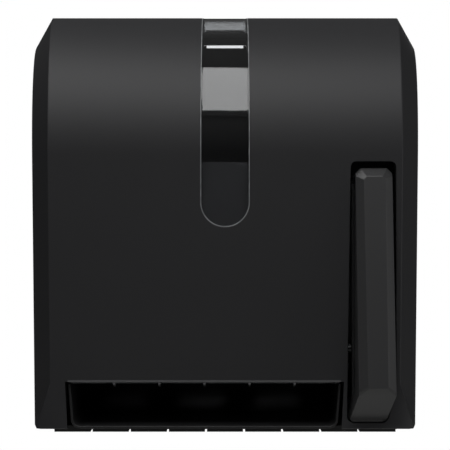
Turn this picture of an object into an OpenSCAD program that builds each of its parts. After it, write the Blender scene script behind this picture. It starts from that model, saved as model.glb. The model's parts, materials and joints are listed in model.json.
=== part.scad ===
// Wall-mounted roll towel dispenser worked by a push paddle.
// The frame's origin is the centre of the wall screw pattern, on the wall plane.
// +Z is up, +Y points into the wall, and the front faces -Y.

/* [Body] */
// Width across the cover's sides just behind the front chamfer
body_w = 326; // [310:1:345]
// Overall height, from the rear plate's lower edge to the top of the cover
body_h = 364; // [352:1:380]
// Overall depth, from the wall to the cover's front face
body_d = 230; // [226:1:240]
// Wall thickness of the moulded cover
cover_wall = 2.6; // [2:0.1:3.2]
// Radius of the cover's curved top front
top_radius = 130; // [110:1:140]
// Width of the chamfer along each side, seen from the front
chamfer_run = 16; // [10:0.5:20]
// Depth of the same chamfer, from the front face back
chamfer_depth = 25; // [18:0.5:30]
// Draft of the cover's sides, which open towards the wall
side_draft = 4.3; // [3.5:0.1:5]
// Taper of the cover's sides, which close towards the bottom
side_taper = 0.6; // [0.2:0.1:0.8]
// Height of the cover's lower edge above the rear plate's
cover_lift = 7.5; // [6:0.5:9]
// Height below which the chamfer flares out towards the cover's lower edge
flare_top = 43.7; // [38:0.1:50]
// How far the chamfer's front edge has moved out at the cover's lower edge
flare_run = 11.2; // [8:0.1:13]

/* [Window] */
// Width of the clear window
window_w = 41; // [30:0.5:50]
// Height of the window's round lower end
window_low = 174; // [160:1:190]
// Distance from the wall to the window's upper end on the top face
window_back = 60; // [52:1:72]
// Width of the window's glued flange beyond the opening
window_flange = 4; // [3:0.5:6]

/* [Paper exit] */
// Room between the cover's left side and the paper exit
left_room = 30.5; // [29:0.5:34]
// Room between the paper exit and the cover's right side, where the paddle works
right_room = 64.5; // [63:0.5:68]
// Height of the exit's upper edge
exit_top = 45.7; // [42:0.1:48]
// Height of the scoop's floor
scoop_floor = 7; // [6:0.5:8]
// Wall of the scoop and the tray
scoop_wall = 2; // [1.6:0.1:2.4]
// Number of tray feet
feet_count = 9; // [7:1:11]
// Gap between neighbouring tray feet
feet_gap = 1.8; // [1.2:0.1:2.4]

/* [Paddle] */
// Room between the paddle's centre and the cover's right side
paddle_room = 38.7; // [37.5:0.1:40]
// Width across the paddle's sides
paddle_w = 30.6; // [28:0.1:32]
// Width of the paddle's flat front face
paddle_face_w = 17.8; // [14:0.1:20]
// How far the paddle stands proud of the cover at its upper end
paddle_proud_top = 5; // [3:0.5:8]
// How far the paddle stands proud of the cover at its lower end
paddle_proud_low = 35; // [28:0.5:40]
// Height of the paddle's pivot
pivot_z = 211; // [209:0.5:212]
// Distance of the paddle's pivot behind the front face
pivot_back = 27; // [26:0.5:30]

/* [Drive] */
// Gear module
gear_module = 2; // [1.9:0.05:2.1]
// Teeth of a full circle of the sector gear
sector_teeth = 134; // [130:1:138]
// Teeth of the pinion
pinion_teeth = 16; // [15:1:18]
// Distance of the feed roller's axis behind the front face
feed_back = 72; // [70:0.5:75]
// Radius of the feed roller over its rubber rings
feed_r = 18; // [17:0.1:19]
// Radius of the feed shaft
shaft_r = 4; // [3.5:0.1:4.5]
// Radius of the pinch rollers
pinch_r = 9; // [8:0.1:10]
// Paper gap between the feed roller and the pinch rollers
paper_gap = 0.4; // [0.3:0.05:0.6]

/* [Roll holder] */
// Room between each roll arm and the end of the paper exit
arm_room = 12.5; // [11.5:0.5:15]
// Height of the towel roll's axis
roll_z = 220; // [215:1:225]
// Distance of the towel roll's axis from the wall
roll_y = 114; // [110:1:118]
// Radius of the hub that enters the roll's core
hub_r = 17.5; // [15:0.1:19]

/* [Wall mount] */
// Sideways spacing of the wall screws
mount_w = 180; // [160:1:184]
// Upright spacing of the wall screws
mount_h = 200; // [190:1:210]
// Height of the screw pattern's centre above the rear plate's lower edge
mount_z = 215; // [210:1:220]
// Radius of each wall screw hole
mount_hole_r = 2.75; // [2.25:0.05:3.25]

/* [Fits] */
// Radial clearance of a pin in its bore
pin_clear = 0.05; // [0.03:0.01:0.08]
// Side clearance between neighbouring pieces that move
side_clear = 0.4; // [0.3:0.05:0.6]
// Gap between fixed pieces that are laid together
seat_clear = 0.1; // [0.05:0.05:0.2]

/* [Hidden] */
$fn = 64;
eps = 0.01;
far = 600;

// Cover
front_y = -body_d;
arc_z = body_h - top_radius;
arc_y = front_y + top_radius;
chamfer_slope = chamfer_run / chamfer_depth;
chamfer_angle = atan(chamfer_slope);
chamfer_shift = top_radius * tan(asin(tan(side_draft) / chamfer_slope));
flare_h = flare_top - cover_lift;
flare_tilt = atan((flare_run / flare_h - tan(side_taper)) * cos(chamfer_angle));
cover_back_y = -1;

// Chassis plate, and the cover's lip above it
plate_t = 3;
plate_side_gap = 2.5;
plate_drop = 10.1;
plate_top = body_h - plate_drop;
plate_face_y = -plate_t;
lip_gap = 0.4;
lip_low = plate_top + lip_gap;
notch_w = 36;
notch_h = 2.6;

// Cover hinge
hinge_y = -14;
hinge_z = 19;
hinge_r = 3;
hinge_ear_r = 9;
hinge_inset = 23;
hinge_bracket_w = 10;
hinge_bracket_r = 7.5;
hinge_in_x = side_x(hinge_y, hinge_z) - hinge_inset;
hinge_ear_x = hinge_in_x + hinge_bracket_w + 1;
hinge_pin_l = 21;

plate_w = 2 * (side_x(plate_face_y, hinge_z) - cover_wall - plate_side_gap);
plate_high_w = 2 * (side_x(plate_face_y, arc_z) - cover_wall - plate_side_gap);
plate_chamfer_x = body_w / 2 + (plate_face_y - arc_y) * tan(side_draft) - chamfer_run
  + chamfer_slope * (plate_drop + top_radius + chamfer_shift - norm([top_radius, chamfer_shift]));
plate_corner_x = plate_chamfer_x - (cover_wall + plate_side_gap) / cos(chamfer_angle);
plate_corner_z = plate_top - (plate_high_w / 2 - plate_corner_x) / chamfer_slope;

// Pocket that backs the window's lower end
glass_t = 2.2;
pocket_wall = 2;
pocket_top = arc_z - 6;
pocket_half = window_w / 2 + window_flange + seat_clear + pocket_wall;
pocket_low = window_low - window_flange - seat_clear - pocket_wall;
pocket_back_y = front_y + cover_wall + glass_t + seat_clear;

// Lock, and the strike that its cam hooks
lock_side = 28;
lock_x = mount_w / 2 - lock_side;
lock_y = -34;
lock_r = 9;
lock_boss_h = 15;
cam_t = 2.5;
cam_gap = 3;
cam_top = body_h - cover_wall - lock_boss_h - cam_gap;
cam_reach = 22;
cam_half = 4.5;
cam_r = 7;
cam_screw_r = 1.5;
cam_screw_l = 6;
strike_t = 3;
strike_w = 8;
strike_gap = 11;
strike_x = lock_x + strike_gap;
strike_mid_x = strike_x + strike_w / 2;
strike_front_y = lock_y - cam_half - 2 * strike_t;
strike_drop = 8;
strike_base_h = 34;

// Screws
screw_r = 2;
screw_head_r = 3.8;
screw_head_t = 2.4;
screw_l = 5.5;
screw_cross_w = 1;

// Paper path and its side plates
paper_low = left_room - body_w / 2;
paper_high = body_w / 2 - right_room;
paper_x = (paper_low + paper_high) / 2;
exit_w = paper_high - paper_low;
exit_lean = 2.5;
frame_t = 3;
frame_gap = 2;
frame_left_x = paper_low - frame_gap - frame_t;
frame_right_x = paper_high + frame_gap;
flange_w = 14;
flange_low = 42;
flange_top = 103;

// Paddle
paddle_x = body_w / 2 - paddle_room;
paddle_low_x = paddle_x - paddle_w / 2;
paddle_high_x = paddle_x + paddle_w / 2;
slot_gap = 5;
slot_gap_right = 2;
slot_lean = 3;
slot_corner = 5;
slot_top = 228.4;
slot_low = 12.2;
slot_wall = 2;
pivot_y = front_y + pivot_back;
pivot_r = 4;
pivot_boss_r = pivot_r + 4;
pivot_end_x = paddle_high_x - 4;
paddle_top = 223.5;
paddle_face_top = 214.4;
paddle_face_low = 44.5;
paddle_foot_top = 38.3;
paddle_foot_low = slot_low + 0.8;
paddle_back_y = pivot_y - 4;
paddle_chamfer = 6;
paddle_skin = 2.4;
paddle_tilt = atan((paddle_proud_low - paddle_proud_top) / (paddle_face_top - paddle_face_low));
paddle_turn = atan((paddle_w - paddle_face_w) / 2 / paddle_chamfer);
paddle_corner = 3.1;
corner_turn = 71;
corner_tilt = 31;
guard_w = 3;
guard_t = 2;
guard_y = pivot_y - 13;

// Gears and the return spring
gear_t = 6;
gear_x = paddle_low_x + paddle_skin + side_clear + 1;
pitch_sector = gear_module * sector_teeth / 2;
pitch_pinion = gear_module * pinion_teeth / 2;
gear_centres = pitch_sector + pitch_pinion;
sector_first = -8;
sector_last = 2;
sector_screw_r = 1.5;
pressure_angle = 20;
backlash = 0.16;
peg_r = 1.2;
peg_l = 3.5;
return_wire_r = 0.7;
return_coil_r = pivot_r + return_wire_r + 0.8;
return_peg = [pivot_y - 7.5, pivot_z + return_coil_r - return_wire_r - peg_r - seat_clear];
gear_peg = [pivot_y + return_coil_r - return_wire_r - peg_r - seat_clear, pivot_z - 12];

// Feed shaft
feed_y = front_y + feed_back;
feed_z = pivot_z - sqrt(pow(gear_centres, 2) - pow(feed_y - pivot_y, 2));
mesh_angle = atan2(feed_z - pivot_z, feed_y - pivot_y);
bush_r = shaft_r + 3;
bush_flange_t = 1.5;
bush_flange_r = bush_r + 2.5;
clutch_r = shaft_r + 3.5;
knob_r = 15;
knob_w = 9;
knob_gap = 7.2;
knob_flute_r = 2;
shaft_left_x = -(side_x(feed_y, feed_z) - cover_wall - knob_gap);
shaft_right_x = gear_x + gear_t + 2;
ring_count = 4;
ring_w = exit_w / 10.5;
ring_pitch = exit_w / 4.125;
ring_t = 3;
ring_groove = 0.8;
ring_groove_w = 1;
core_r = feed_r - ring_t;

// Pinch rollers
pinch_y = feed_y + feed_r + pinch_r + paper_gap;
pinch_z = feed_z;
pinch_axle_r = 3;
pinch_back = 18;
pinch_rise = 32;
pinch_pivot_y = pinch_y + pinch_back;
pinch_pivot_z = pinch_z + pinch_rise;
pinch_pivot_r = 3;
pinch_arm_t = 3;
pinch_arm_r = 6;
pinch_boss_r = 6.5;
pinch_bar_t = 2.5;
pinch_spring_room = 6;
pinch_low_x = frame_left_x + frame_t + pinch_spring_room;
pinch_high_x = frame_right_x - pinch_spring_room - pinch_arm_t;
pinch_wire_r = 0.5;
pinch_coil_r = pinch_pivot_r + pinch_wire_r + 0.6;
pinch_peg = [pinch_pivot_y - 7, pinch_pivot_z + pinch_coil_r - pinch_wire_r - peg_r - seat_clear];
pinch_arm_peg = [pinch_pivot_y + pinch_coil_r - pinch_wire_r - peg_r - seat_clear, pinch_pivot_z - 7];

// Roll arms and hubs
arm_t = 4;
arm_left_x = paper_low + arm_room;
arm_right_x = paper_high - arm_room;
arm_pin_y = -12;
arm_pin_r = 2.5;
arm_half = 25.6;
arm_end_r = 13;
arm_knuckle_r = 5.4;
ear_t = 8;
ear_half = 6;
ear_low = arm_half + side_clear;
pin_reach = ear_low + ear_t + 2;
hub_len = 15;
hub_pin_r = 5;

// Tray and scoop
tray_side = 18.5;
tray_w = body_w - 2 * tray_side;
tray_front_y = front_y + 22;
tray_t = 3;
tray_wall = 2.4;
tray_wall_top = 26;
foot_d = 14;
foot_low = 1.7;
foot_rear_y = -60;
scoop_gap = 1.9;
scoop_lean = 3;
scoop_corner = 7;
scoop_round = 24;
scoop_top = 44;
scoop_front_y = front_y + cover_wall + 1;
scoop_back_y = pinch_y + 14;
scoop_mouth = 8;

// Tear bar and its carrier
carrier_y = front_y + cover_wall + 6;
carrier_t = 4;
carrier_low = exit_top + 2;
carrier_top = carrier_low + 16;
carrier_tab_l = 34;
carrier_tab_t = 2;
carrier_screw_r = 2;
carrier_screw_y = carrier_y + carrier_tab_l - 5;
carrier_screw_z = carrier_low + 8;
finger_pitch = 37.4;
finger_w = 1.8;
finger_drop = 4.8;
tear_drop = 1.9;
tear_t = 1;
tear_pitch = 2.2;
tear_tooth_h = 0.8;

black = "#232323";
soft_black = "#2e2e2e";
dark = "#17181a";
grey = "#5b5e62";
steel = "#b6b9bd";
rubber = "#3a3a3c";
clear = "#8d949b80";

// Shared helpers

// Moves a piece from heights above the rear plate's lower edge to the frame at the wall mount
module seat() {
  translate([0, 0, -mount_z]) children();
}

// Extrudes an outline drawn in the side view (depth, height) sideways
module from_side(x0, width) {
  translate([x0, 0, 0]) rotate([90, 0, 90]) linear_extrude(height = width) children();
}

// Round bar or bore along the X axis
module bar_x(x0, width, y, z, r) {
  translate([x0, y, z]) rotate([0, 90, 0]) cylinder(r = r, h = width);
}

// Round bar or bore along the Y axis, from y0 towards the wall
module bar_y(x, y0, length, z, r) {
  translate([x, y0, z]) rotate([-90, 0, 0]) cylinder(r = r, h = length);
}

// Box given by its low corner and its high corner
module box(low, high) {
  translate(low) cube(high - low);
}

// Half of space beyond a plane through a point, tilted from X by a draft about Z and a taper about Y
module beyond(point, draft, taper, low_y = -far, low_z = -far, high_z = far) {
  translate(point) rotate([0, taper, -draft])
    translate([0, low_y, low_z]) cube([far, 2 * far, high_z - low_z]);
}

// Unbroken wire along a list of points, with six sides
module wire(points, r) {
  sides = 6;
  count = len(points);
  directions = [for (i = [0:count - 1])
    let (a = points[max(i - 1, 0)], b = points[min(i + 1, count - 1)]) (b - a) / norm(b - a)];
  rings = [for (i = [0:count - 1])
    let (d = directions[i],
         n = abs(d[0]) < 0.9 ? cross(d, [1, 0, 0]) : cross(d, [0, 1, 0]),
         u = n / norm(n), v = cross(d, u))
    for (k = [0:sides - 1]) points[i] + r * (cos(k * 360 / sides) * u + sin(k * 360 / sides) * v)];
  walls = [for (i = [0:count - 2], k = [0:sides - 1])
    let (a = i * sides + k, b = i * sides + (k + 1) % sides)
    each [[a, b, a + sides], [b, b + sides, a + sides]]];
  first = [for (k = [1:sides - 2]) [0, k + 1, k]];
  last_ring = (count - 1) * sides;
  last = [for (k = [1:sides - 2]) [last_ring, last_ring + k, last_ring + k + 1]];
  polyhedron(points = rings, faces = concat(walls, first, last));
}

// Points of a coil about the X axis with a straight leg at each end: one leg leaves the top towards the
// front, at x0, and the other hangs down behind the axis, at x1
function coil(x0, x1, y, z, r, turns, top_leg, low_leg) =
  let (steps = ceil(8 * turns))
  concat(
    [[x0, y - top_leg, z + r]],
    [for (i = [0:steps]) let (a = 360 * turns * (1 - i / steps))
      [x0 + (x1 - x0) * i / steps, y + r * cos(a), z + r * sin(a)]],
    [[x1, y + r, z - low_leg]]);

// Angle of an involute flank at a radius, in degrees
function involute(base_r, r) =
  r <= base_r ? 0 : let (a = acos(base_r / r)) tan(a) * 180 / PI - a;

// Half the width of a gear tooth at a radius, in degrees
function tooth_half(teeth, r) =
  let (pitch = gear_module * teeth / 2, base_r = pitch * cos(pressure_angle))
  90 / teeth - backlash / 2 / pitch * 180 / PI + involute(base_r, pitch) - involute(base_r, r);

// Outline of one gear tooth, centred on an angle
function tooth(teeth, centre) =
  let (pitch = gear_module * teeth / 2, root = pitch - 1.25 * gear_module, tip = pitch + 0.95 * gear_module,
       radii = [for (i = [0:5]) root + (tip - root) * i / 5])
  concat(
    [for (r = radii) let (a = centre - tooth_half(teeth, r)) r * [cos(a), sin(a)]],
    [for (i = [5:-1:0]) let (r = radii[i], a = centre + tooth_half(teeth, r)) r * [cos(a), sin(a)]]);

// Cover form

// Half width of the cover's outer side at a depth and a height
function side_x(y, z) =
  body_w / 2 + (y - front_y - chamfer_depth) * tan(side_draft) + (z - arc_z) * tan(side_taper);

// Side view of the cover, drawn in by a wall
module cover_profile(inset, low, back) {
  translate([front_y + inset, low]) square([back - front_y - inset, arc_z - low]);
  translate([arc_y, low]) square([back - arc_y, body_h - inset - low]);
  intersection() {
    translate([arc_y, arc_z]) circle(r = top_radius - inset, $fn = 96);
    translate([front_y, arc_z - 1]) square([top_radius + 1, top_radius + 1]);
  }
}

// Half width of the front face at a chamfer of a slope, drawn in by a wall
function chamfer_edge(slope, inset) =
  body_w / 2 - slope * chamfer_depth - inset * (sqrt(1 + pow(slope, 2)) - slope);

// What the sloping side and its chamfer leave off one side of the cover; over the curve the chamfer is a
// cone about an axis behind the curve's own, so that it opens towards the wall as the side does
module side_cut(inset) {
  low_slope = (chamfer_run - flare_run) / chamfer_depth;
  face_x = chamfer_edge(chamfer_slope, inset);
  arc_r = top_radius - inset;
  edge_r = arc_r + chamfer_shift;
  lean = atan((chamfer_shift - 2) / arc_r);
  over = 40;
  apart = 0.03;
  flare_x = body_w / 2 - chamfer_run - (arc_z - flare_top) * tan(side_taper);
  flare_normal = [
    cos(flare_tilt) * cos(chamfer_angle), -cos(flare_tilt) * sin(chamfer_angle), sin(flare_tilt)];
  beyond([body_w / 2 - inset, front_y + chamfer_depth, arc_z], side_draft, side_taper);
  beyond([chamfer_edge(low_slope, inset) + apart, front_y + inset, arc_z], atan(low_slope), side_taper,
         high_z = 2);
  intersection() {
    beyond([face_x, front_y + inset, arc_z], chamfer_angle, side_taper, high_z = 10);
    beyond([flare_x, front_y, flare_top] - inset * flare_normal, chamfer_angle, -flare_tilt);
  }
  translate([face_x + apart, arc_y + chamfer_shift, arc_z]) {
    rotate([0, 90, 0]) rotate([0, 0, 180 + lean])
      rotate_extrude(angle = 91 - lean, $fn = 96) polygon([
        [edge_r + over, -over * chamfer_slope], [edge_r + over, far],
        [edge_r - 2 * over, far], [edge_r - 2 * over, 2 * over * chamfer_slope]]);
    rotate([lean, 0, 0]) translate([0, 0, edge_r]) rotate([0, -chamfer_angle, 0])
      translate([0, 0, -far]) cube([far, far, 2 * far]);
  }
}

// The cover's outside, or its inside when it is drawn in by the wall
module cover_form(inset, low, back) {
  difference() {
    from_side(-body_w, 2 * body_w) cover_profile(inset, low, back);
    side_cut(inset);
    mirror([1, 0, 0]) side_cut(inset);
  }
}

// Column of the window seen from the front, widened by a margin
module window_column(margin) {
  half = window_w / 2 + margin;
  centre_z = window_low + window_w / 2;
  box([-half, front_y - 5, centre_z], [half, -window_back + margin, body_h + 5]);
  bar_y(0, front_y - 5, top_radius, centre_z, half);
}

// Opening of the paddle's slot seen from the front, with round corners
module slot_outline() {
  low_x = paddle_low_x - slot_gap;
  high_x = paddle_high_x + slot_gap_right;
  offset(r = slot_corner) offset(delta = -slot_corner)
    polygon([[low_x - slot_lean, slot_low], [high_x, slot_low], [high_x, slot_top], [low_x, slot_top]]);
}

// Pieces of the cover

module front_cover() {
  cut = 30;
  slot_side_x = paddle_high_x + slot_gap_right;
  color(black) difference() {
    union() {
      difference() {
        cover_form(0, cover_lift, cover_back_y);
        cover_form(cover_wall, -far, far);
        window_column(0);
        translate([0, front_y + cut, 0]) rotate([90, 0, 0]) linear_extrude(height = 2 * cut) {
          slot_outline();
          polygon([[paper_low + exit_lean, -1], [paper_high - exit_lean, -1],
                   [paper_high, exit_top], [paper_low, exit_top]]);
        }
        box([-body_w, hinge_y, -1], [body_w, 5, hinge_z]);
      }
      // Pocket behind the window's lower end
      difference() {
        box([-pocket_half, front_y + cover_wall / 2, pocket_low],
            [pocket_half, pocket_back_y + pocket_wall, pocket_top]);
        intersection() {
          window_column(window_flange + seat_clear);
          box([-far, front_y - 5, 0], [far, pocket_back_y, far]);
        }
      }
      // Lip along the upper rear edge
      intersection() {
        cover_form(eps, cover_lift, far);
        box([-body_w, cover_back_y - cover_wall, lip_low], [body_w, cover_back_y, body_h]);
      }
      // Hinge ears at the lower rear corners
      for (side = [-1, 1]) intersection() {
        cover_form(eps, -far, far);
        bar_x(side > 0 ? hinge_ear_x : -far, far - hinge_ear_x, hinge_y, hinge_z, hinge_ear_r);
      }
      // Wall behind the right edge of the paddle's slot
      box([slot_side_x, front_y + cover_wall / 2, slot_low + slot_corner],
          [slot_side_x + slot_wall, tray_front_y - tray_t, slot_top]);
      // Boss for the lock
      translate([lock_x, lock_y, body_h - cover_wall - lock_boss_h + 1])
        cylinder(r = lock_r + cover_wall, h = lock_boss_h);
    }
    translate([lock_x, lock_y, 0]) cylinder(r = lock_r + pin_clear, h = far);
    bar_x(-far, 2 * far, hinge_y, hinge_z, hinge_r + pin_clear);
  }
}

module window() {
  color(clear) difference() {
    union() {
      intersection() {
        cover_form(0.3, -far, far);
        window_column(-seat_clear);
      }
      intersection() {
        cover_form(cover_wall + seat_clear, -far, far);
        window_column(window_flange);
      }
    }
    cover_form(cover_wall + glass_t, -far, far);
  }
}

module lock_barrel() {
  key_w = 2;
  key_l = 9;
  key_deep = 8;
  top = body_h - 0.6;
  color(steel) difference() {
    translate([lock_x, lock_y, cam_top])
      cylinder(r = lock_r, h = top - cam_top);
    translate([lock_x - key_w / 2, lock_y - key_l / 2, top - key_deep]) cube([key_w, key_l, key_deep + 1]);
    translate([lock_x, lock_y, cam_top - 1]) cylinder(r = cam_screw_r + pin_clear, h = cam_screw_l + 1);
  }
}

module lock_cam() {
  color(steel) difference() {
    union() {
      translate([lock_x, lock_y, cam_top - cam_t]) cylinder(r = cam_r, h = cam_t);
      box([lock_x - cam_half, lock_y, cam_top - cam_t], [lock_x + cam_half, lock_y + cam_reach, cam_top]);
    }
    translate([lock_x, lock_y, cam_top - cam_t - 1]) cylinder(r = cam_screw_r + pin_clear, h = cam_t + 2);
  }
}

module cam_screw() {
  color(grey) {
    translate([lock_x, lock_y, cam_top - cam_t - cam_screw_r]) cylinder(r = 2 * cam_screw_r, h = cam_screw_r);
    translate([lock_x, lock_y, cam_top - cam_t - eps]) cylinder(r = cam_screw_r, h = cam_t + cam_screw_l - 1);
  }
}

// Pieces of the chassis

// Places of the screws through the side plates' rear flanges
function frame_screw_places() = [
  for (x = [frame_left_x - flange_w / 2, frame_right_x + frame_t + flange_w / 2],
       z = [flange_low + 9, flange_top - 9]) [x, z]];

// Heights of the strike's two screws
function strike_screw_z() = [cam_top - strike_base_h + 6, cam_top - strike_base_h / 2];

module rear_chassis() {
  rib_w = 2;
  rib_d = 5;
  rim_d = 9;
  rim_t = 2.4;
  rim_low = hinge_z + 30;
  color(soft_black) difference() {
    union() {
      // Plate, with its sides and upper corners following the cover
      rotate([90, 0, 0]) linear_extrude(height = plate_t) polygon([
        [-plate_w / 2, 0], [plate_w / 2, 0], [plate_w / 2, hinge_z],
        [plate_high_w / 2, arc_z], [plate_high_w / 2, plate_corner_z], [plate_corner_x, plate_top],
        [-plate_corner_x, plate_top], [-plate_high_w / 2, plate_corner_z], [-plate_high_w / 2, arc_z],
        [-plate_w / 2, hinge_z]]);
      // Rims along the plate's sides
      for (side = [-1, 1])
        translate([side * (plate_w / 2 - rim_t / 2) - rim_t / 2, plate_face_y - rim_d, rim_low])
          cube([rim_t, rim_d + eps, plate_corner_z - rim_low]);
      // Ribs across the plate
      for (z = [0.4, 0.8] * plate_top)
        box([-plate_w / 2 + 1, plate_face_y - rib_d, z], [plate_w / 2 - 1, plate_face_y + eps, z + rib_w]);
      // Hinge brackets at the lower corners
      for (x = [hinge_in_x, -hinge_in_x - hinge_bracket_w]) hull() {
        bar_x(x, hinge_bracket_w, hinge_y, hinge_z, hinge_bracket_r, $fn = 32);
        translate([x, plate_face_y - eps, hinge_z - hinge_bracket_r])
          cube([hinge_bracket_w, 1, 3.4 * hinge_bracket_r]);
      }
      // Ears for the roll arms' pins
      for (x = arm_pin_places(), z = [roll_z - ear_low - ear_t, roll_z + ear_low])
        box([x - ear_half, arm_pin_y - ear_half, z], [x + ear_half, plate_face_y + eps, z + ear_t]);
    }
    // Notch in the plate's upper edge
    box([-notch_w / 2, -2 * plate_t, plate_top - notch_h], [notch_w / 2, plate_t, far]);
    for (x = [-mount_w / 2, mount_w / 2], z = [mount_z - mount_h / 2, mount_z + mount_h / 2])
      bar_y(x, -far, 2 * far, z, mount_hole_r);
    for (p = frame_screw_places()) bar_y(p[0], -far, 2 * far, p[1], screw_r + pin_clear);
    for (z = strike_screw_z()) bar_y(strike_mid_x, -far, 2 * far, z, screw_r + pin_clear);
    bar_x(-far, 2 * far, hinge_y, hinge_z, hinge_r + pin_clear);
    for (x = arm_pin_places()) arm_pin(x, arm_pin_r + pin_clear, pin_reach + 1);
  }
}

// Sideways places of the roll arms' pins
function arm_pin_places() = [arm_left_x - arm_t / 2, arm_right_x + arm_t / 2];

// Upright bar or bore at a roll arm's pin, reaching as far above the roll's axis as below it
module arm_pin(x, r, reach) {
  translate([x, arm_pin_y, roll_z - reach]) cylinder(r = r, h = 2 * reach);
}

module lock_strike() {
  base_low = cam_top - strike_base_h;
  arm_low = cam_top - cam_t - strike_drop;
  base_y = plate_face_y - strike_t;
  high_x = strike_x + strike_w;
  color(steel) difference() {
    union() {
      box([strike_x, base_y, base_low], [high_x, plate_face_y, arm_low + strike_t]);
      box([strike_x, strike_front_y, arm_low], [high_x, base_y + eps, arm_low + strike_t]);
      box([strike_x, strike_front_y, arm_low], [high_x, strike_front_y + strike_t, cam_top + 1]);
    }
    for (z = strike_screw_z()) bar_y(strike_mid_x, -far, 2 * far, z, screw_r + pin_clear);
  }
}

// Cross-head screw along the Y axis, with its head's rear face at a depth
module screw(x, z, head_y) {
  cross_half = screw_head_r - screw_cross_w;
  cross_y = head_y - screw_head_t - 1;
  color(grey) difference() {
    union() {
      bar_y(x, head_y - screw_head_t, screw_head_t, z, screw_head_r);
      bar_y(x, head_y - eps, screw_l, z, screw_r);
    }
    for (size = [[screw_cross_w / 2, cross_half], [cross_half, screw_cross_w / 2]])
      box([x - size[0], cross_y, z - size[1]], [x + size[0], head_y - screw_head_t / 2, z + size[1]]);
  }
}

module strike_screws() {
  for (z = strike_screw_z()) screw(strike_mid_x, z, plate_face_y - strike_t);
}

module frame_screws() {
  for (p = frame_screw_places()) screw(p[0], p[1], plate_face_y - frame_t);
}

module cover_hinge_pins() {
  color(steel) for (x = [hinge_in_x + 0.5, -hinge_in_x - 0.5 - hinge_pin_l])
    bar_x(x, hinge_pin_l, hinge_y, hinge_z, hinge_r);
}

// Outline of a frame side plate in the side view; the right one also rises to the paddle's pivot
module side_outline(tall) {
  corner = 4;
  low = scoop_floor + 5;
  top = pinch_pivot_z + 12;
  front = carrier_screw_y - 4;
  offset(r = corner) offset(delta = -corner) union() {
    polygon([[plate_face_y, low], [plate_face_y, top - 8], [pinch_pivot_y + 14, top],
             [feed_y - 24, top - 12], [front, feed_z + 2], [front, low]]);
    if (tall) {
      polygon([[feed_y - 4, top - 30], [pivot_y + 16, pivot_z - 4], [pivot_y + 8, pivot_z + 10],
               [pivot_y - 8, pivot_z + 10], [pivot_y - 13, pivot_z - 4],
               [front, carrier_low - 8], [feed_y - 4, carrier_low - 8]]);
    }
  }
}

// Side plate of the frame, with its flange and the peg of a pinch spring
module side_plate(x0, flange_x0, tall, peg_x) {
  window_r = 24;
  window_y = (plate_face_y + pinch_y) / 2;
  color(dark) difference() {
    union() {
      from_side(x0, frame_t) side_outline(tall);
      // Rear flange for the frame screws
      box([flange_x0, plate_face_y - frame_t, flange_low], [flange_x0 + flange_w, plate_face_y, flange_top]);
      // Peg for the fixed leg of a spring
      bar_x(peg_x, peg_l, pinch_peg[0], pinch_peg[1], peg_r);
    }
    bar_x(-far, 2 * far, feed_y, feed_z, bush_r + pin_clear);
    bar_x(-far, 2 * far, pinch_pivot_y, pinch_pivot_z, pinch_pivot_r + pin_clear);
    bar_x(-far, 2 * far, carrier_screw_y, carrier_screw_z, carrier_screw_r + pin_clear);
    // Lightening window
    bar_x(-far, 2 * far, window_y, flange_low + 16, window_r);
    for (p = frame_screw_places()) bar_y(p[0], -far, 2 * far, p[1], screw_r + pin_clear);
    if (tall) bar_x(-far, 2 * far, pivot_y, pivot_z, pivot_r + pin_clear);
  }
}

module left_side_plate() {
  side_plate(frame_left_x, frame_left_x - flange_w + eps, false, frame_left_x + frame_t - eps);
}

module right_side_plate() {
  side_plate(frame_right_x, frame_right_x + frame_t - eps, true, frame_right_x - peg_l + eps);
  color(dark) bar_x(frame_right_x + frame_t - eps, peg_l, return_peg[0], return_peg[1], peg_r);
}

module bottom_tray() {
  foot_h = scoop_floor - tray_t - seat_clear;
  pitch = tray_w / feet_count;
  back_y = plate_face_y - seat_clear;
  color(black) union() {
    box([-tray_w / 2, tray_front_y, foot_h], [tray_w / 2, back_y, foot_h + tray_t]);
    // Low side walls
    for (x = [-tray_w / 2, tray_w / 2 - tray_wall])
      box([x, tray_front_y, foot_h], [x + tray_wall, back_y, tray_wall_top]);
    // Two rows of feet
    for (i = [0:feet_count - 1], y = [tray_front_y, foot_rear_y])
      translate([-tray_w / 2 + i * pitch + feet_gap / 2, y, foot_low])
        cube([pitch - feet_gap, foot_d, foot_h - foot_low + eps]);
  }
}

// Side view of the scoop: floor, curved back and the way up behind the rollers
module scoop_side(inset) {
  back = scoop_back_y - inset;
  low = scoop_floor + inset;
  difference() {
    translate([scoop_front_y, low]) square([back - scoop_front_y, scoop_top - low]);
    difference() {
      translate([back - scoop_round, low]) square(scoop_round + 1);
      translate([back - scoop_round, low + scoop_round]) circle(r = scoop_round);
    }
  }
}

// Front view of the scoop, with leaning sides and round lower corners
module scoop_front(inset) {
  half = exit_w / 2 - scoop_gap - inset;
  low = scoop_floor + inset;
  high = 2 * scoop_top;
  intersection() {
    offset(r = scoop_corner) offset(delta = -scoop_corner)
      polygon([[-half + scoop_lean, low], [half - scoop_lean, low],
               [half + scoop_lean, high], [-half - scoop_lean, high]]);
    translate([-exit_w, low]) square([2 * exit_w, scoop_top - low]);
  }
}

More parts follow.
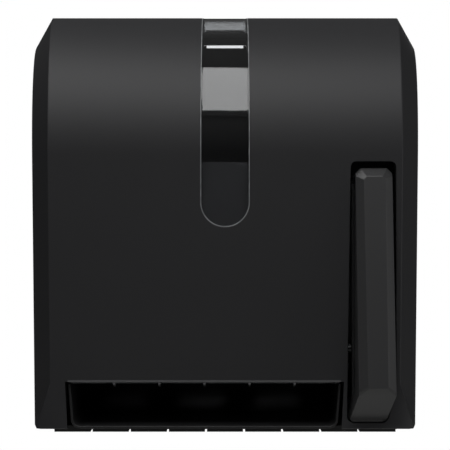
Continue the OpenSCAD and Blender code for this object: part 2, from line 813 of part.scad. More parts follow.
module paper_scoop() {
  inner_back_y = scoop_back_y - scoop_wall;
  mouth_y = scoop_front_y - scoop_mouth;
  color(dark) difference() {
    intersection() {
      from_side(paper_low, exit_w) scoop_side(0);
      translate([paper_x, 0, 0]) rotate([90, 0, 0]) linear_extrude(height = body_d) scoop_front(0);
    }
    intersection() {
      translate([0, 0, eps]) from_side(paper_low, exit_w) {
        scoop_side(scoop_wall);
        // Open front and top
        translate([mouth_y, scoop_floor + scoop_wall]) square([5 * scoop_mouth, scoop_top]);
        translate([mouth_y, scoop_top - scoop_wall]) square([inner_back_y - mouth_y, 2 * scoop_wall]);
      }
      translate([paper_x, 0, 0]) rotate([90, 0, 0])
        linear_extrude(height = 2 * body_d) scoop_front(scoop_wall);
    }
  }
}

module tear_bar_carrier() {
  low_x = frame_left_x + frame_t + seat_clear;
  high_x = frame_right_x - seat_clear;
  color(dark) difference() {
    union() {
      box([low_x, carrier_y, carrier_low], [high_x, carrier_y + carrier_t, carrier_top]);
      // End tabs that lie along the side plates
      for (x = [low_x, high_x - carrier_tab_t])
        box([x, carrier_y, carrier_low], [x + carrier_tab_t, carrier_y + carrier_tab_l, carrier_top]);
      // Guide fingers below the exit's upper edge
      for (x = [for (i = [-2:2]) paper_x + i * finger_pitch])
        box([x - finger_w / 2, carrier_y + 0.5, exit_top - finger_drop],
            [x + finger_w / 2, carrier_y + carrier_t, carrier_low + 1]);
    }
    bar_x(-far, 2 * far, carrier_screw_y, carrier_screw_z, carrier_screw_r + pin_clear);
  }
}

module carrier_screws() {
  head_t = 2;
  head_r = 1.8 * carrier_screw_r;
  length = frame_t + carrier_tab_t;
  color(grey) {
    bar_x(frame_left_x - head_t, head_t, carrier_screw_y, carrier_screw_z, head_r);
    bar_x(frame_left_x - eps, length, carrier_screw_y, carrier_screw_z, carrier_screw_r);
    bar_x(frame_right_x + frame_t, head_t, carrier_screw_y, carrier_screw_z, head_r);
    bar_x(frame_right_x + frame_t - length + eps, length, carrier_screw_y, carrier_screw_z, carrier_screw_r);
  }
}

module tear_bar() {
  low = exit_top - tear_drop;
  high = carrier_top - carrier_tab_t;
  count = floor((exit_w - 2 * scoop_lean) / tear_pitch);
  start = paper_x - count * tear_pitch / 2;
  end = paper_x + count * tear_pitch / 2;
  teeth = [for (i = [0:count - 1]) each [
    [start + i * tear_pitch, low + tear_tooth_h], [start + (i + 0.5) * tear_pitch, low]]];
  color(steel) translate([0, carrier_y, 0]) rotate([90, 0, 0]) linear_extrude(height = tear_t)
    polygon(concat(teeth, [[end, low + tear_tooth_h], [end, high], [start, high]]));
}

module shaft_bushes() {
  color(grey) difference() {
    union() {
      bar_x(frame_left_x, frame_t, feed_y, feed_z, bush_r);
      bar_x(frame_left_x - bush_flange_t, bush_flange_t, feed_y, feed_z, bush_flange_r);
      bar_x(frame_right_x, frame_t, feed_y, feed_z, bush_r);
      bar_x(frame_right_x + frame_t, bush_flange_t, feed_y, feed_z, bush_flange_r);
    }
    bar_x(-far, 2 * far, feed_y, feed_z, shaft_r + pin_clear);
  }
}

module paddle_pivot_pin() {
  color(steel) difference() {
    union() {
      bar_x(frame_right_x, pivot_end_x - frame_right_x, pivot_y, pivot_z, pivot_r);
      bar_x(frame_right_x - 2, 2, pivot_y, pivot_z, pivot_r + 2.5);
    }
    // Groove for the retaining clip
    difference() {
      bar_x(pivot_end_x - 2.6, 1.2, pivot_y, pivot_z, pivot_r + 1);
      bar_x(pivot_end_x - 3, 2, pivot_y, pivot_z, pivot_r - 0.8);
    }
  }
}

module pivot_clip() {
  color(steel) difference() {
    bar_x(pivot_end_x - 2.5, 1, pivot_y, pivot_z, pivot_r + 2.4);
    bar_x(pivot_end_x - 3, 2, pivot_y, pivot_z, pivot_r - 0.75);
    box([pivot_end_x - 3, pivot_y - 2.2, pivot_z - 10], [pivot_end_x, pivot_y + 2.2, pivot_z]);
  }
}

module pinch_pivot_rod() {
  low_x = frame_left_x - 1;
  high_x = frame_right_x + frame_t + 1;
  color(steel) bar_x(low_x, high_x - low_x, pinch_pivot_y, pinch_pivot_z, pinch_pivot_r);
}

module arm_pins() {
  color(steel) for (x = arm_pin_places()) arm_pin(x, arm_pin_r, pin_reach);
}

// Pieces of the paddle

// Side view of the paddle: upper end, face, foot and the flat back
module paddle_profile() {
  polygon([
    [paddle_back_y, paddle_top], [front_y + paddle_chamfer, paddle_top],
    [front_y - paddle_proud_top, paddle_face_top], [front_y - paddle_proud_low, paddle_face_low],
    [front_y - paddle_proud_low + paddle_chamfer, paddle_foot_top],
    [front_y + paddle_chamfer / 2, paddle_foot_low], [paddle_back_y, paddle_foot_low]]);
}

// What the chamfer and the corner facets leave off one side of the paddle
module paddle_cut(inset) {
  edge = paddle_face_w / 2;
  face_y = front_y - paddle_proud_top;
  low_y = front_y - paddle_proud_low;
  translate([edge, face_y, paddle_face_top]) rotate([-paddle_tilt, 0, 0]) rotate([0, 0, -paddle_turn])
    translate([-inset, -far, -far]) cube(2 * far);
  translate([edge - paddle_corner, face_y, paddle_face_top]) rotate([0, -corner_tilt, -corner_turn])
    translate([-inset, -far, -far]) cube(2 * far);
  translate([edge - paddle_corner / 2, low_y, paddle_face_low]) rotate([0, corner_tilt, -corner_turn])
    translate([-inset, -far, -far]) cube(2 * far);
}

// The paddle's outside, or its inside when it is drawn in by the skin
module paddle_form(inset) {
  difference() {
    from_side(paddle_low_x + inset, paddle_w - 2 * inset) offset(delta = -inset) paddle_profile();
    translate([paddle_x, 0, 0]) paddle_cut(inset);
    translate([paddle_x, 0, 0]) mirror([1, 0, 0]) paddle_cut(inset);
  }
}

module push_paddle() {
  skin = paddle_skin;
  boss_low_x = gear_x + gear_t + side_clear;
  web_x = gear_x + gear_t + seat_clear;
  web_t = 8;
  hollow_top = pivot_z - 2 * pivot_boss_r;
  color(soft_black) difference() {
    union() {
      difference() {
        paddle_form(0);
        intersection() {
          paddle_form(skin);
          box([paddle_low_x, front_y - far, 0], [paddle_high_x, paddle_back_y - skin / 2, hollow_top]);
        }
        // Open back below the pivot block
        box([paddle_low_x + skin, paddle_back_y - 2 * skin, paddle_foot_low + 2 * skin],
            [paddle_high_x - skin, paddle_back_y + 1, hollow_top]);
        // Pocket for the sector gear's arm and the spring
        box([paddle_low_x - 1, paddle_back_y - 12, pivot_z - 20], [web_x, paddle_back_y + 1, pivot_z + 20]);
        bar_x(paddle_low_x - 1, web_x - paddle_low_x + 1, pivot_y, pivot_z, pivot_boss_r + 4);
      }
      // Boss round the pivot pin
      bar_x(boss_low_x, pivot_end_x - 3 - boss_low_x, pivot_y, pivot_z, pivot_boss_r);
      box([boss_low_x, paddle_back_y - 6, pivot_z - pivot_boss_r],
          [pivot_end_x - 3, pivot_y, pivot_z + pivot_boss_r]);
      // Web that carries the sector gear
      box([web_x, front_y + 3, pivot_z - 56], [web_x + web_t, pivot_y + 4, pivot_z - 12]);
      // Guard that closes the gap at the left of the paddle
      box([paddle_low_x - guard_w, guard_y - guard_t, paddle_foot_low + 3],
          [paddle_low_x + skin / 2, guard_y, pivot_z - 1]);
    }
    bar_x(paddle_low_x - 5, paddle_w + 20, pivot_y, pivot_z, pivot_r + pin_clear);
    // Room for the clip at the pin's end
    bar_x(pivot_end_x - 3, 8, pivot_y, pivot_z, pivot_boss_r);
    for (p = sector_screw_places()) bar_x(gear_x, gear_t + 12, p[0], p[1], sector_screw_r + pin_clear);
  }
}

// Places of the screws that hold the sector gear to the paddle's web
function sector_screw_places() = [for (drop = [30, 48]) [pivot_y - 2, pivot_z - drop]];

module sector_gear() {
  root = pitch_sector - 1.25 * gear_module;
  rim = 9;
  step = 360 / sector_teeth;
  first_angle = mesh_angle + (sector_first - 1.4) * step;
  last_angle = mesh_angle + (sector_last + 1.4) * step;
  color(grey) translate([gear_x, 0, 0]) difference() {
    union() {
      translate([0, pivot_y, pivot_z]) from_side(0, gear_t) {
        // Teeth
        for (k = [sector_first:sector_last]) polygon(tooth(sector_teeth, mesh_angle + k * step));
        // Rim under the teeth
        difference() {
          polygon([[0, 0], 1.2 * root * [cos(first_angle), sin(first_angle)],
                   1.2 * root * [cos(last_angle), sin(last_angle)]]);
          difference() {
            circle(r = 1.5 * root);
            circle(r = root + eps, $fn = 180);
          }
          circle(r = root - rim, $fn = 180);
        }
        // Arm and its two spokes
        circle(r = 10);
        for (k = [sector_first + 1, sector_last - 1]) {
          a = mesh_angle + k * step;
          polygon([9 * [cos(a + 60), sin(a + 60)], 9 * [cos(a - 60), sin(a - 60)],
                   (root - 4) * [cos(a - 2), sin(a - 2)], (root - 4) * [cos(a + 2), sin(a + 2)]]);
        }
      }
      // Peg for the moving leg of the return spring
      bar_x(-3, 3 + eps, gear_peg[0], gear_peg[1], peg_r);
    }
    bar_x(-1, gear_t + 2, pivot_y, pivot_z, pivot_r + pin_clear);
    for (p = sector_screw_places()) bar_x(-1, gear_t + 2, p[0], p[1], sector_screw_r + pin_clear);
  }
}

module sector_screws() {
  color(steel) for (p = sector_screw_places()) {
    bar_x(gear_x - 1.4, 1.4, p[0], p[1], 2.8);
    bar_x(gear_x - eps, gear_t + 7, p[0], p[1], sector_screw_r);
  }
}

module return_spring() {
  low_x = frame_right_x + frame_t + return_wire_r + side_clear;
  high_x = gear_x - return_wire_r - side_clear;
  color(steel) wire(coil(low_x, high_x, pivot_y, pivot_z, return_coil_r, 3.25, 9, 14), return_wire_r);
}

// Pieces that turn with the feed shaft

module feed_shaft() {
  color(steel) bar_x(shaft_left_x, shaft_right_x - shaft_left_x, feed_y, feed_z, shaft_r);
}

module feed_roller() {
  shoulder = 2;
  low = paper_low + frame_gap;
  high = paper_high - frame_gap;
  color(soft_black) difference() {
    union() {
      bar_x(low, high - low, feed_y, feed_z, core_r - ring_t);
      for (x = ring_places()) bar_x(x - shoulder, ring_w + 2 * shoulder, feed_y, feed_z, core_r);
    }
    bar_x(-far, 2 * far, feed_y, feed_z, shaft_r + pin_clear);
  }
}

// Left ends of the rubber rings
function ring_places() =
  [for (i = [0:ring_count - 1]) paper_x - ring_w / 2 + (i - (ring_count - 1) / 2) * ring_pitch];

module grip_rings() {
  color(rubber) for (x = ring_places()) difference() {
    bar_x(x, ring_w, feed_y, feed_z, feed_r);
    bar_x(x - 1, ring_w + 2, feed_y, feed_z, core_r + pin_clear);
    for (k = [1:4]) difference() {
      bar_x(x + k * ring_w / 5 - ring_groove_w / 2, ring_groove_w, feed_y, feed_z, feed_r + 1);
      bar_x(x + k * ring_w / 5 - ring_groove_w, 2 * ring_groove_w, feed_y, feed_z, feed_r - ring_groove);
    }
  }
}

module drive_pinion() {
  step = 360 / pinion_teeth;
  root = pitch_pinion - 1.25 * gear_module;
  color(grey) difference() {
    translate([gear_x - 1, feed_y, feed_z]) from_side(0, gear_t + 2) {
      circle(r = root + eps);
      for (k = [0:pinion_teeth - 1]) polygon(tooth(pinion_teeth, mesh_angle + 180 + (k + 0.5) * step));
    }
    bar_x(-far, 2 * far, feed_y, feed_z, clutch_r + pin_clear);
  }
}

module one_way_clutch() {
  color(steel) difference() {
    bar_x(gear_x - 1, gear_t + 2, feed_y, feed_z, clutch_r);
    bar_x(-far, 2 * far, feed_y, feed_z, shaft_r + pin_clear);
  }
}

module feed_knob() {
  flutes = 16;
  flute_place = knob_r + knob_flute_r / 2;
  color(soft_black) difference() {
    bar_x(shaft_left_x, knob_w, feed_y, feed_z, knob_r);
    bar_x(-far, 2 * far, feed_y, feed_z, shaft_r + pin_clear);
    for (k = [0:flutes - 1]) let (a = k * 360 / flutes)
      bar_x(shaft_left_x - 1, knob_w + 2,
            feed_y + flute_place * cos(a), feed_z + flute_place * sin(a), knob_flute_r);
  }
}

// Pieces of the pinch roller unit

module pinch_frame() {
  bar_low = [pinch_y + pinch_back * 0.75, pinch_z + pinch_rise / 4];
  bar_high = [pinch_pivot_y - 5, pinch_pivot_z - 7];
  color(dark) difference() {
    union() {
      for (x = [pinch_low_x, pinch_high_x]) hull() {
        bar_x(x, pinch_arm_t, pinch_y, pinch_z, pinch_arm_r, $fn = 32);
        bar_x(x, pinch_arm_t, pinch_pivot_y, pinch_pivot_z, pinch_boss_r, $fn = 32);
      }
      // Pegs for the moving legs of the springs
      for (x = [pinch_low_x - 2, pinch_high_x + pinch_arm_t - eps])
        bar_x(x, 2 + eps, pinch_arm_peg[0], pinch_arm_peg[1], peg_r);
      // Cross bar over the rollers
      from_side(pinch_low_x, pinch_high_x + pinch_arm_t - pinch_low_x)
        polygon([bar_low, bar_low + [pinch_bar_t, 0], bar_high + [1.6 * pinch_bar_t, 0], bar_high]);
    }
    bar_x(-far, 2 * far, pinch_y, pinch_z, pinch_axle_r + pin_clear);
    bar_x(-far, 2 * far, pinch_pivot_y, pinch_pivot_z, pinch_pivot_r + pin_clear);
  }
}

module pinch_axle() {
  length = pinch_high_x + pinch_arm_t + 2 - pinch_low_x;
  color(steel) bar_x(pinch_low_x - 1, length, pinch_y, pinch_z, pinch_axle_r);
}

module pinch_rollers() {
  color(rubber) for (x = ring_places()) difference() {
    bar_x(x, ring_w, pinch_y, pinch_z, pinch_r);
    bar_x(x - 1, ring_w + 2, pinch_y, pinch_z, pinch_axle_r + pin_clear);
  }
}

// One spring outside each pinch arm, from a peg on the side plate to a peg on the arm
module pinch_springs() {
  inset = pinch_wire_r + side_clear;
  color(steel) for (side = [0, 1])
    wire(coil(side == 0 ? frame_left_x + frame_t + inset : frame_right_x - inset,
              side == 0 ? pinch_low_x - inset : pinch_high_x + pinch_arm_t + inset,
              pinch_pivot_y, pinch_pivot_z, pinch_coil_r, 2.25, 8.5, 9), pinch_wire_r);
}

// Pieces of the roll holder

// Side view of a roll arm: wide at the wall and round at the hub
module arm_outline() {
  hull() {
    translate([-roll_y, roll_z]) circle(r = arm_end_r, $fn = 48);
    translate([arm_pin_y - arm_knuckle_r, roll_z - arm_half]) square([1, 2 * arm_half]);
  }
}

module roll_arm(x0, inward) {
  pin_x = x0 + arm_t / 2;
  hub_x = inward > 0 ? x0 + arm_t : x0 - hub_len;
  color(dark) difference() {
    union() {
      difference() {
        from_side(x0, arm_t) arm_outline();
        from_side(x0 - 1, arm_t + 2) offset(r = arm_t) offset(delta = -arm_t) difference() {
          offset(delta = -2 * arm_t) arm_outline();
          translate([-roll_y, roll_z]) circle(r = 1.5 * arm_end_r);
        }
      }
      // Knuckle round the arm's pin
      arm_pin(pin_x, arm_knuckle_r, arm_half);
      // Stub that carries the hub
      bar_x(hub_x, hub_len, -roll_y, roll_z, hub_pin_r);
    }
    arm_pin(pin_x, arm_pin_r + pin_clear, arm_half + 1);
  }
}

module left_roll_arm() {
  roll_arm(arm_left_x - arm_t, 1);
}

module right_roll_arm() {
  roll_arm(arm_right_x, -1);
}

// Hub with a flange and a lead-in cone, turning on the arm's stub
module core_hub(face_x, inward) {
  flange_r = hub_r + 2.5;
  flange_t = 2;
  lead = 4;
  holes = 6;
  hole_r = 3;
  bore_r = hub_pin_r + pin_clear;
  low = side_clear;
  high = hub_len - side_clear;
  color(grey) translate([face_x, -roll_y, roll_z]) rotate([0, inward * 90, 0]) difference() {
    rotate_extrude() polygon([
      [bore_r, low], [flange_r, low], [flange_r, low + flange_t], [hub_r, low + flange_t],
      [hub_r, high - lead], [hub_r - lead / 2, high], [bore_r, high]]);
    for (k = [0:holes - 1]) rotate([0, 0, k * 360 / holes])
      translate([(hub_r + bore_r) / 2, 0, -1]) cylinder(r = hole_r, h = hub_len + 2);
  }
}

module left_core_hub() {
  core_hub(arm_left_x, 1);
}

module right_core_hub() {
  core_hub(arm_right_x, -1);
}

seat() rear_chassis();
seat() left_side_plate();
seat() right_side_plate();
seat() bottom_tray();
seat() paper_scoop();
seat() tear_bar();
seat() tear_bar_carrier();
seat() carrier_screws();
seat() cover_hinge_pins();
seat() lock_strike();
seat() shaft_bushes();
seat() paddle_pivot_pin();
seat() pivot_clip();
seat() pinch_pivot_rod();
seat() arm_pins();
seat() frame_screws();
seat() strike_screws();
seat() front_cover();
seat() window();
seat() lock_barrel();
seat() lock_cam();
seat() cam_screw();
seat() push_paddle();
seat() sector_gear();
seat() sector_screws();
seat() return_spring();
seat() feed_shaft();
seat() feed_roller();
seat() grip_rings();
seat() drive_pinion();
seat() one_way_clutch();
seat() feed_knob();
seat() pinch_frame();
seat() pinch_springs();
seat() pinch_axle();
seat() pinch_rollers();
seat() left_roll_arm();
seat() right_roll_arm();
seat() left_core_hub();
seat() right_core_hub();
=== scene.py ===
# %% [markdown]
# # A push-paddle towel dispenser, dressed for a studio photograph
# The dispenser hangs on a wall: a black moulded cover with a curved top, a clear window that shows how
# much paper is left, and a paddle at the right that drives the feed roller. Its frame, gears and rollers
# come ready made and at their real size. In this lesson we model the skins that the eye rests on, give
# every piece the finish of its real material, and light the whole as a product photograph.

# %% Load the frame
import json
import math

import bmesh
import bpy
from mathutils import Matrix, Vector


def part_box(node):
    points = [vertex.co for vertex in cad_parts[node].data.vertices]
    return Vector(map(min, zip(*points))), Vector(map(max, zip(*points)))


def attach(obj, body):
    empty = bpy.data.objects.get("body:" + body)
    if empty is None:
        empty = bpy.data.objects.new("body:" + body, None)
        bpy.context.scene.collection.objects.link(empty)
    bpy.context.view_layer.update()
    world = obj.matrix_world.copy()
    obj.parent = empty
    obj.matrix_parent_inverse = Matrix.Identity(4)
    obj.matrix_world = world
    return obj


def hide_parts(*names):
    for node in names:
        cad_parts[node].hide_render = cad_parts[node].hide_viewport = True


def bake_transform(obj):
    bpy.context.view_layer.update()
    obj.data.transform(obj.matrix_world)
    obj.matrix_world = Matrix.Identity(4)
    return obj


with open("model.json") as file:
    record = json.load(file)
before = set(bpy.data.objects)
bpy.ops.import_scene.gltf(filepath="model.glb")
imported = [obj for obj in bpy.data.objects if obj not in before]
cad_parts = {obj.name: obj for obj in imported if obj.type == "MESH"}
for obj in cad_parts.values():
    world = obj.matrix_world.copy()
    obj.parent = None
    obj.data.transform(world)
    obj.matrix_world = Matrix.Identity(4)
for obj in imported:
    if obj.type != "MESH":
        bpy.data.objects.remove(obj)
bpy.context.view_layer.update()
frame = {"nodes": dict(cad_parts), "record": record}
bpy.context.scene.view_settings.view_transform = "Standard"

# %% [markdown]
# ## Sizes
# All lengths are in metres, and the origin is the middle of the wall screws. Heights are easier to think
# of from the rear plate's lower edge, so `up` turns such a height into the frame's own. The cover's sizes
# are read from the frame where it has them; the few that shape its curve are named here.

# %% Sizes of the cover
MM = 0.001
cover_low, cover_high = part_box("front_cover")
plate_low, plate_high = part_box("rear_chassis")
BASE_Z = plate_low.z
FRONT_Y = cover_low.y
BACK_Y = cover_high.y
TOP_Z = cover_high.z
COVER_WALL = 2.6 * MM
SEAT = 0.1 * MM
TOP_RADIUS = 130 * MM
ARC_Z = TOP_Z - TOP_RADIUS
ARC_Y = FRONT_Y + TOP_RADIUS
BODY_HALF = 163 * MM
CHAMFER_RUN = 16 * MM
CHAMFER_DEPTH = 25 * MM
SIDE_DRAFT = math.radians(4.3)
SIDE_TAPER = math.radians(0.6)


def up(millimetres):
    """A height above the rear plate's lower edge, as a height in the frame."""
    return BASE_Z + millimetres * MM


print("cover front", round(FRONT_Y, 4), "top", round(TOP_Z, 4))

# %% [markdown]
# ## The camera
# The photograph is taken square on, from a little over a metre, with the lens at about the middle of the
# dispenser. A long lens on a full-frame sensor gives the same mild perspective. An orthographic camera
# would be simpler, but it would lose the narrow view of the paddle's sides.

# %% Camera
CAMERA_DISTANCE = 1.2
CAMERA_Z = up(175.8)
FRAME_WIDTH = 372.1 * MM
camera_data = bpy.data.cameras.new("camera")
camera_data.sensor_width = 36.0
camera_data.lens = camera_data.sensor_width * CAMERA_DISTANCE / FRAME_WIDTH
camera = bpy.data.objects.new("camera", camera_data)
camera.location = (0, FRONT_Y - CAMERA_DISTANCE, CAMERA_Z)
camera.rotation_euler = (math.radians(90), 0, 0)
bpy.context.scene.collection.objects.link(camera)
bpy.context.scene.camera = camera
print("lens", round(camera_data.lens, 1), "mm")

# %% [markdown]
# ## Working by hand, in code
# Each skin starts as a primitive and is shaped in edit mode. These helpers do what a hand does in the
# viewport: start a clean selection, pick faces or edges by where they lie, and apply a modifier. Named
# once, they let every later cell read as a list of moves.

# %% Helpers for modelling
# A point this close to a place counts as lying on it. The other two are cosines: a direction that is
# square to an axis, or mostly along a given way.
NEAR = 0.1 * MM
SQUARE = 0.99
MOSTLY = 0.9


def start_box(name, low, high):
    """A new cube that fills the box between two corners, ready in object mode."""
    bpy.ops.object.select_all(action="DESELECT")
    low, high = Vector(low), Vector(high)
    bpy.ops.mesh.primitive_cube_add(size=1, location=(low + high) / 2)
    piece = bpy.context.object
    piece.name = name
    piece.data.name = name
    piece.scale = high - low
    bpy.ops.object.transform_apply(location=True, rotation=True, scale=True)
    return piece


def start_rod(name, centre, radius, depth, axis="Z", sides=64):
    """A new cylinder about a centre, along one axis."""
    bpy.ops.object.select_all(action="DESELECT")
    turn = {"X": (0, math.pi / 2, 0), "Y": (math.pi / 2, 0, 0), "Z": (0, 0, 0)}[axis]
    bpy.ops.mesh.primitive_cylinder_add(
        vertices=sides, radius=radius, depth=depth, location=centre, rotation=turn
    )
    piece = bpy.context.object
    piece.name = name
    piece.data.name = name
    bpy.ops.object.transform_apply(location=True, rotation=True, scale=True)
    return piece


def edit(piece):
    """Enter edit mode on one piece, with nothing selected."""
    bpy.ops.object.select_all(action="DESELECT")
    piece.select_set(True)
    bpy.context.view_layer.objects.active = piece
    bpy.ops.object.mode_set(mode="EDIT")
    bpy.ops.mesh.select_all(action="DESELECT")


def done():
    """Leave edit mode."""
    bpy.ops.object.mode_set(mode="OBJECT")


def pick(kind, test):
    """Select the vertices, edges or faces of the piece in edit mode that pass a test, and count them."""
    bpy.ops.mesh.select_mode(type={"verts": "VERT", "edges": "EDGE", "faces": "FACE"}[kind])
    mesh = bmesh.from_edit_mesh(bpy.context.object.data)
    for item in getattr(mesh, kind):
        item.select_set(False)
    chosen = [item for item in getattr(mesh, kind) if test(item)]
    for item in chosen:
        item.select_set(True)
    mesh.select_flush_mode()
    bmesh.update_edit_mesh(bpy.context.object.data)
    return len(chosen)


def slice_off(point, normal, fill=True):
    """Cut the piece in edit mode by a plane and throw away what lies beyond it."""
    bpy.ops.mesh.select_all(action="SELECT")
    bpy.ops.mesh.bisect(
        plane_co=point, plane_no=Vector(normal).normalized(),
        use_fill=fill, clear_outer=True, threshold=1e-6,
    )


def apply_modifier(piece, kind, **settings):
    """Add a modifier with its settings and apply it at once."""
    bpy.ops.object.select_all(action="DESELECT")
    piece.select_set(True)
    bpy.context.view_layer.objects.active = piece
    modifier = piece.modifiers.new(kind.lower(), kind)
    for key, value in settings.items():
        setattr(modifier, key, value)
    bpy.ops.object.modifier_apply(modifier=modifier.name)


def boolean(piece, tool, operation):
    """Join a tool to a piece, cut it away or keep what they share, and remove the tool."""
    apply_modifier(piece, "BOOLEAN", object=tool, operation=operation, solver="EXACT")
    bpy.data.objects.remove(tool, do_unlink=True)


def shade(piece, angle=35):
    """Shade a piece smooth, apart from edges sharper than an angle, with flat faces kept flat."""
    bpy.ops.object.select_all(action="DESELECT")
    piece.select_set(True)
    bpy.context.view_layer.objects.active = piece
    bpy.ops.object.shade_smooth_by_angle(angle=math.radians(angle))
    apply_modifier(piece, "WEIGHTED_NORMAL", weight=100, keep_sharp=True)


def dress(piece, body, slot, material, *nodes):
    """Finish a piece: its material, the body that it rides on and the nodes it stands for; its slot is not
    used.
    """
    piece.data.materials.clear()
    piece.data.materials.append(material)
    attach(piece, body)
    if nodes:
        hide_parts(*nodes)
    print(piece.name, len(piece.data.polygons), "faces on", body)


# %% [markdown]
# ## Materials
# Nearly everything here is moulded plastic. A mould is spark-eroded or blasted so that the plastic comes
# out with a fine grain, which spreads the highlights. Pictures of plastic could be wrapped round each
# piece, but every shape would then need a map of its own; a pattern worked out from the place in space
# fits any piece. A colour is an sRGB hex value, and a pattern's scale comes from its size.

# %% Helpers for materials
# Real mould grain is about 0.1 mm wide, too fine to show from a metre, so it is drawn at 0.9 mm
GRAIN = 0.9 * MM
GRAIN_HEIGHT = 0.2 * MM
GRAIN_GLOSS = 0.05
# The marks of a drawing die are a few hundredths of a millimetre wide, and are drawn at 0.4 mm to show
STREAK = 0.4 * MM
STREAK_GLOSS = 0.08
STREAK_STRETCH = 0.02


def linear(hex_colour):
    """An sRGB hex colour as linear red, green, blue and alpha."""
    channels = [int(hex_colour[i : i + 2], 16) / 255 for i in (1, 3, 5)]
    return [c / 12.92 if c <= 0.04045 else ((c + 0.055) / 1.055) ** 2.4 for c in channels] + [1.0]


def new_material(name, colour, **sockets):
    """A material with one Principled shader, whose plain values are set on its own sockets."""
    material = bpy.data.materials.new(name)
    material.use_nodes = True
    shader = material.node_tree.nodes["Principled BSDF"]
    shader.inputs["Base Color"].default_value = linear(colour)
    for key, value in sockets.items():
        shader.inputs[key.replace("_", " ")].default_value = value
    return material, shader


def add(material, kind, links=(), **settings):
    """Add a node to a material or a world, with its settings and its links from earlier nodes."""
    tree = material.node_tree
    node = tree.nodes.new(kind)
    for key, value in settings.items():
        if hasattr(node, key):
            setattr(node, key, value)
        else:
            node.inputs[key.replace("_", " ")].default_value = value
    for socket, source in links:
        tree.links.new(source, node.inputs[socket])
    return node


def plug(material, output, socket):
    """Link a node's output to a socket of the material."""
    material.node_tree.links.new(output, socket)


def cycles_per_metre(size):
    """A noise texture's scale that gives features of about this size, in metres."""
    return 1.0 / size


def moulded(name, colour, lighter, roughness, depth=0.03, cloud=60 * MM):
    """Moulded plastic: a fine grain from the tool, and a faint cloudiness in colour and gloss; where the
    second colour is pale, as on the window's edge, its patches are a painted highlight.
    """
    material, shader = new_material(name, colour, IOR=1.5)
    place = add(material, "ShaderNodeTexCoord")
    cloud_and_highlight_patches = add(
        material, "ShaderNodeTexNoise", [("Vector", place.outputs["Object"])],
        Scale=cycles_per_metre(cloud), Detail=3.0,
    )
    tint = add(material, "ShaderNodeMix", [("Factor", cloud_and_highlight_patches.outputs["Fac"])], data_type="RGBA")
    tint.inputs["A"].default_value = linear(colour)
    tint.inputs["B"].default_value = linear(lighter)
    plug(material, tint.outputs["Result"], shader.inputs["Base Color"])
    pits = add(
        material, "ShaderNodeTexNoise", [("Vector", place.outputs["Object"])],
        Scale=cycles_per_metre(GRAIN), Detail=2.0,
    )
    gloss = add(
        material, "ShaderNodeMapRange", [("Value", pits.outputs["Fac"])],
        To_Min=roughness - GRAIN_GLOSS, To_Max=roughness + GRAIN_GLOSS,
    )
    plug(material, gloss.outputs["Result"], shader.inputs["Roughness"])
    bump = add(
        material, "ShaderNodeBump", [("Height", pits.outputs["Fac"])],
        Strength=depth, Distance=GRAIN_HEIGHT,
    )
    plug(material, bump.outputs["Normal"], shader.inputs["Normal"])
    return material


def metal(name, colour, roughness, along="X"):
    """Drawn or rolled steel: streaks along the way it was worked."""
    material, shader = new_material(name, colour, Metallic=1.0, Roughness=roughness)
    place = add(material, "ShaderNodeTexCoord")
    stretch = add(
        material, "ShaderNodeMapping", [("Vector", place.outputs["Object"])],
        Scale=[STREAK_STRETCH if axis == along else 1 for axis in "XYZ"],
    )
    streaks = add(
        material, "ShaderNodeTexNoise", [("Vector", stretch.outputs["Vector"])],
        Scale=cycles_per_metre(STREAK), Detail=2.0,
    )
    gloss = add(
        material, "ShaderNodeMapRange", [("Value", streaks.outputs["Fac"])],
        To_Min=roughness - STREAK_GLOSS, To_Max=roughness + STREAK_GLOSS,
    )
    plug(material, gloss.outputs["Result"], shader.inputs["Roughness"])
    return material


# %% [markdown]
# ## The finishes
# One black would make the dispenser a silhouette. On the real one each plastic is a slightly different
# black, because of its resin and its tool, and the steel inside is bright or dark by its plating. So
# each piece gets the finish of its own material, and small steps in tint and gloss part it from the next.

# %% Materials
# ABS from a grained tool: deep charcoal, with wide soft highlights and no mirror
cover_black = moulded("grained black ABS", "#28282a", "#2b2b2d", 0.56)
# The paddle's tool is finer, so the same plastic looks lighter and glossier and its facets stand apart
paddle_black = moulded("grained black ABS of the paddle", "#3a3a3b", "#3d3d3e", 0.38)
# Polypropylene is a little waxy and very dark, which keeps the inside quiet
inner_black = moulded("plain black polypropylene", "#1e1e1f", "#222223", 0.5)
# The chassis comes from a plain tool: a dull black, one step lighter than the inside
chassis_black = moulded("black ABS of the chassis", "#262627", "#29292a", 0.5)
# Acetal is slippery and dense, so gear teeth catch small sharp glints
gear_grey = moulded("dark grey acetal", "#2c2d2f", "#303133", 0.38)
# Rubber has no clear highlight, only a grey bloom along its grooves
grip_rubber = moulded("grooved black rubber", "#1a1a1b", "#202021", 0.75, depth=0.08)
# Ground shafts shine, with faint streaks along their length
bright_steel = metal("bright steel", "#b9bbbe", 0.28)
# Black plating leaves screws as dark dots and not as sparks
screw_zinc = metal("black zinc-plated steel", "#3c3d3f", 0.42, along="Z")
# Drawn wire shows a soft line of light along each turn
spring_wire = metal("drawn spring wire", "#9a9c9f", 0.3)
# The window's cut edge, part polished and part frosted, with painted highlight in pale patches that come
# and go
satin_edge_painted_highlight = moulded("satin edge of clear styrene with painted highlight", "#3e4042", "#c8cacc", 0.3, depth=0.1, cloud=6 * MM)

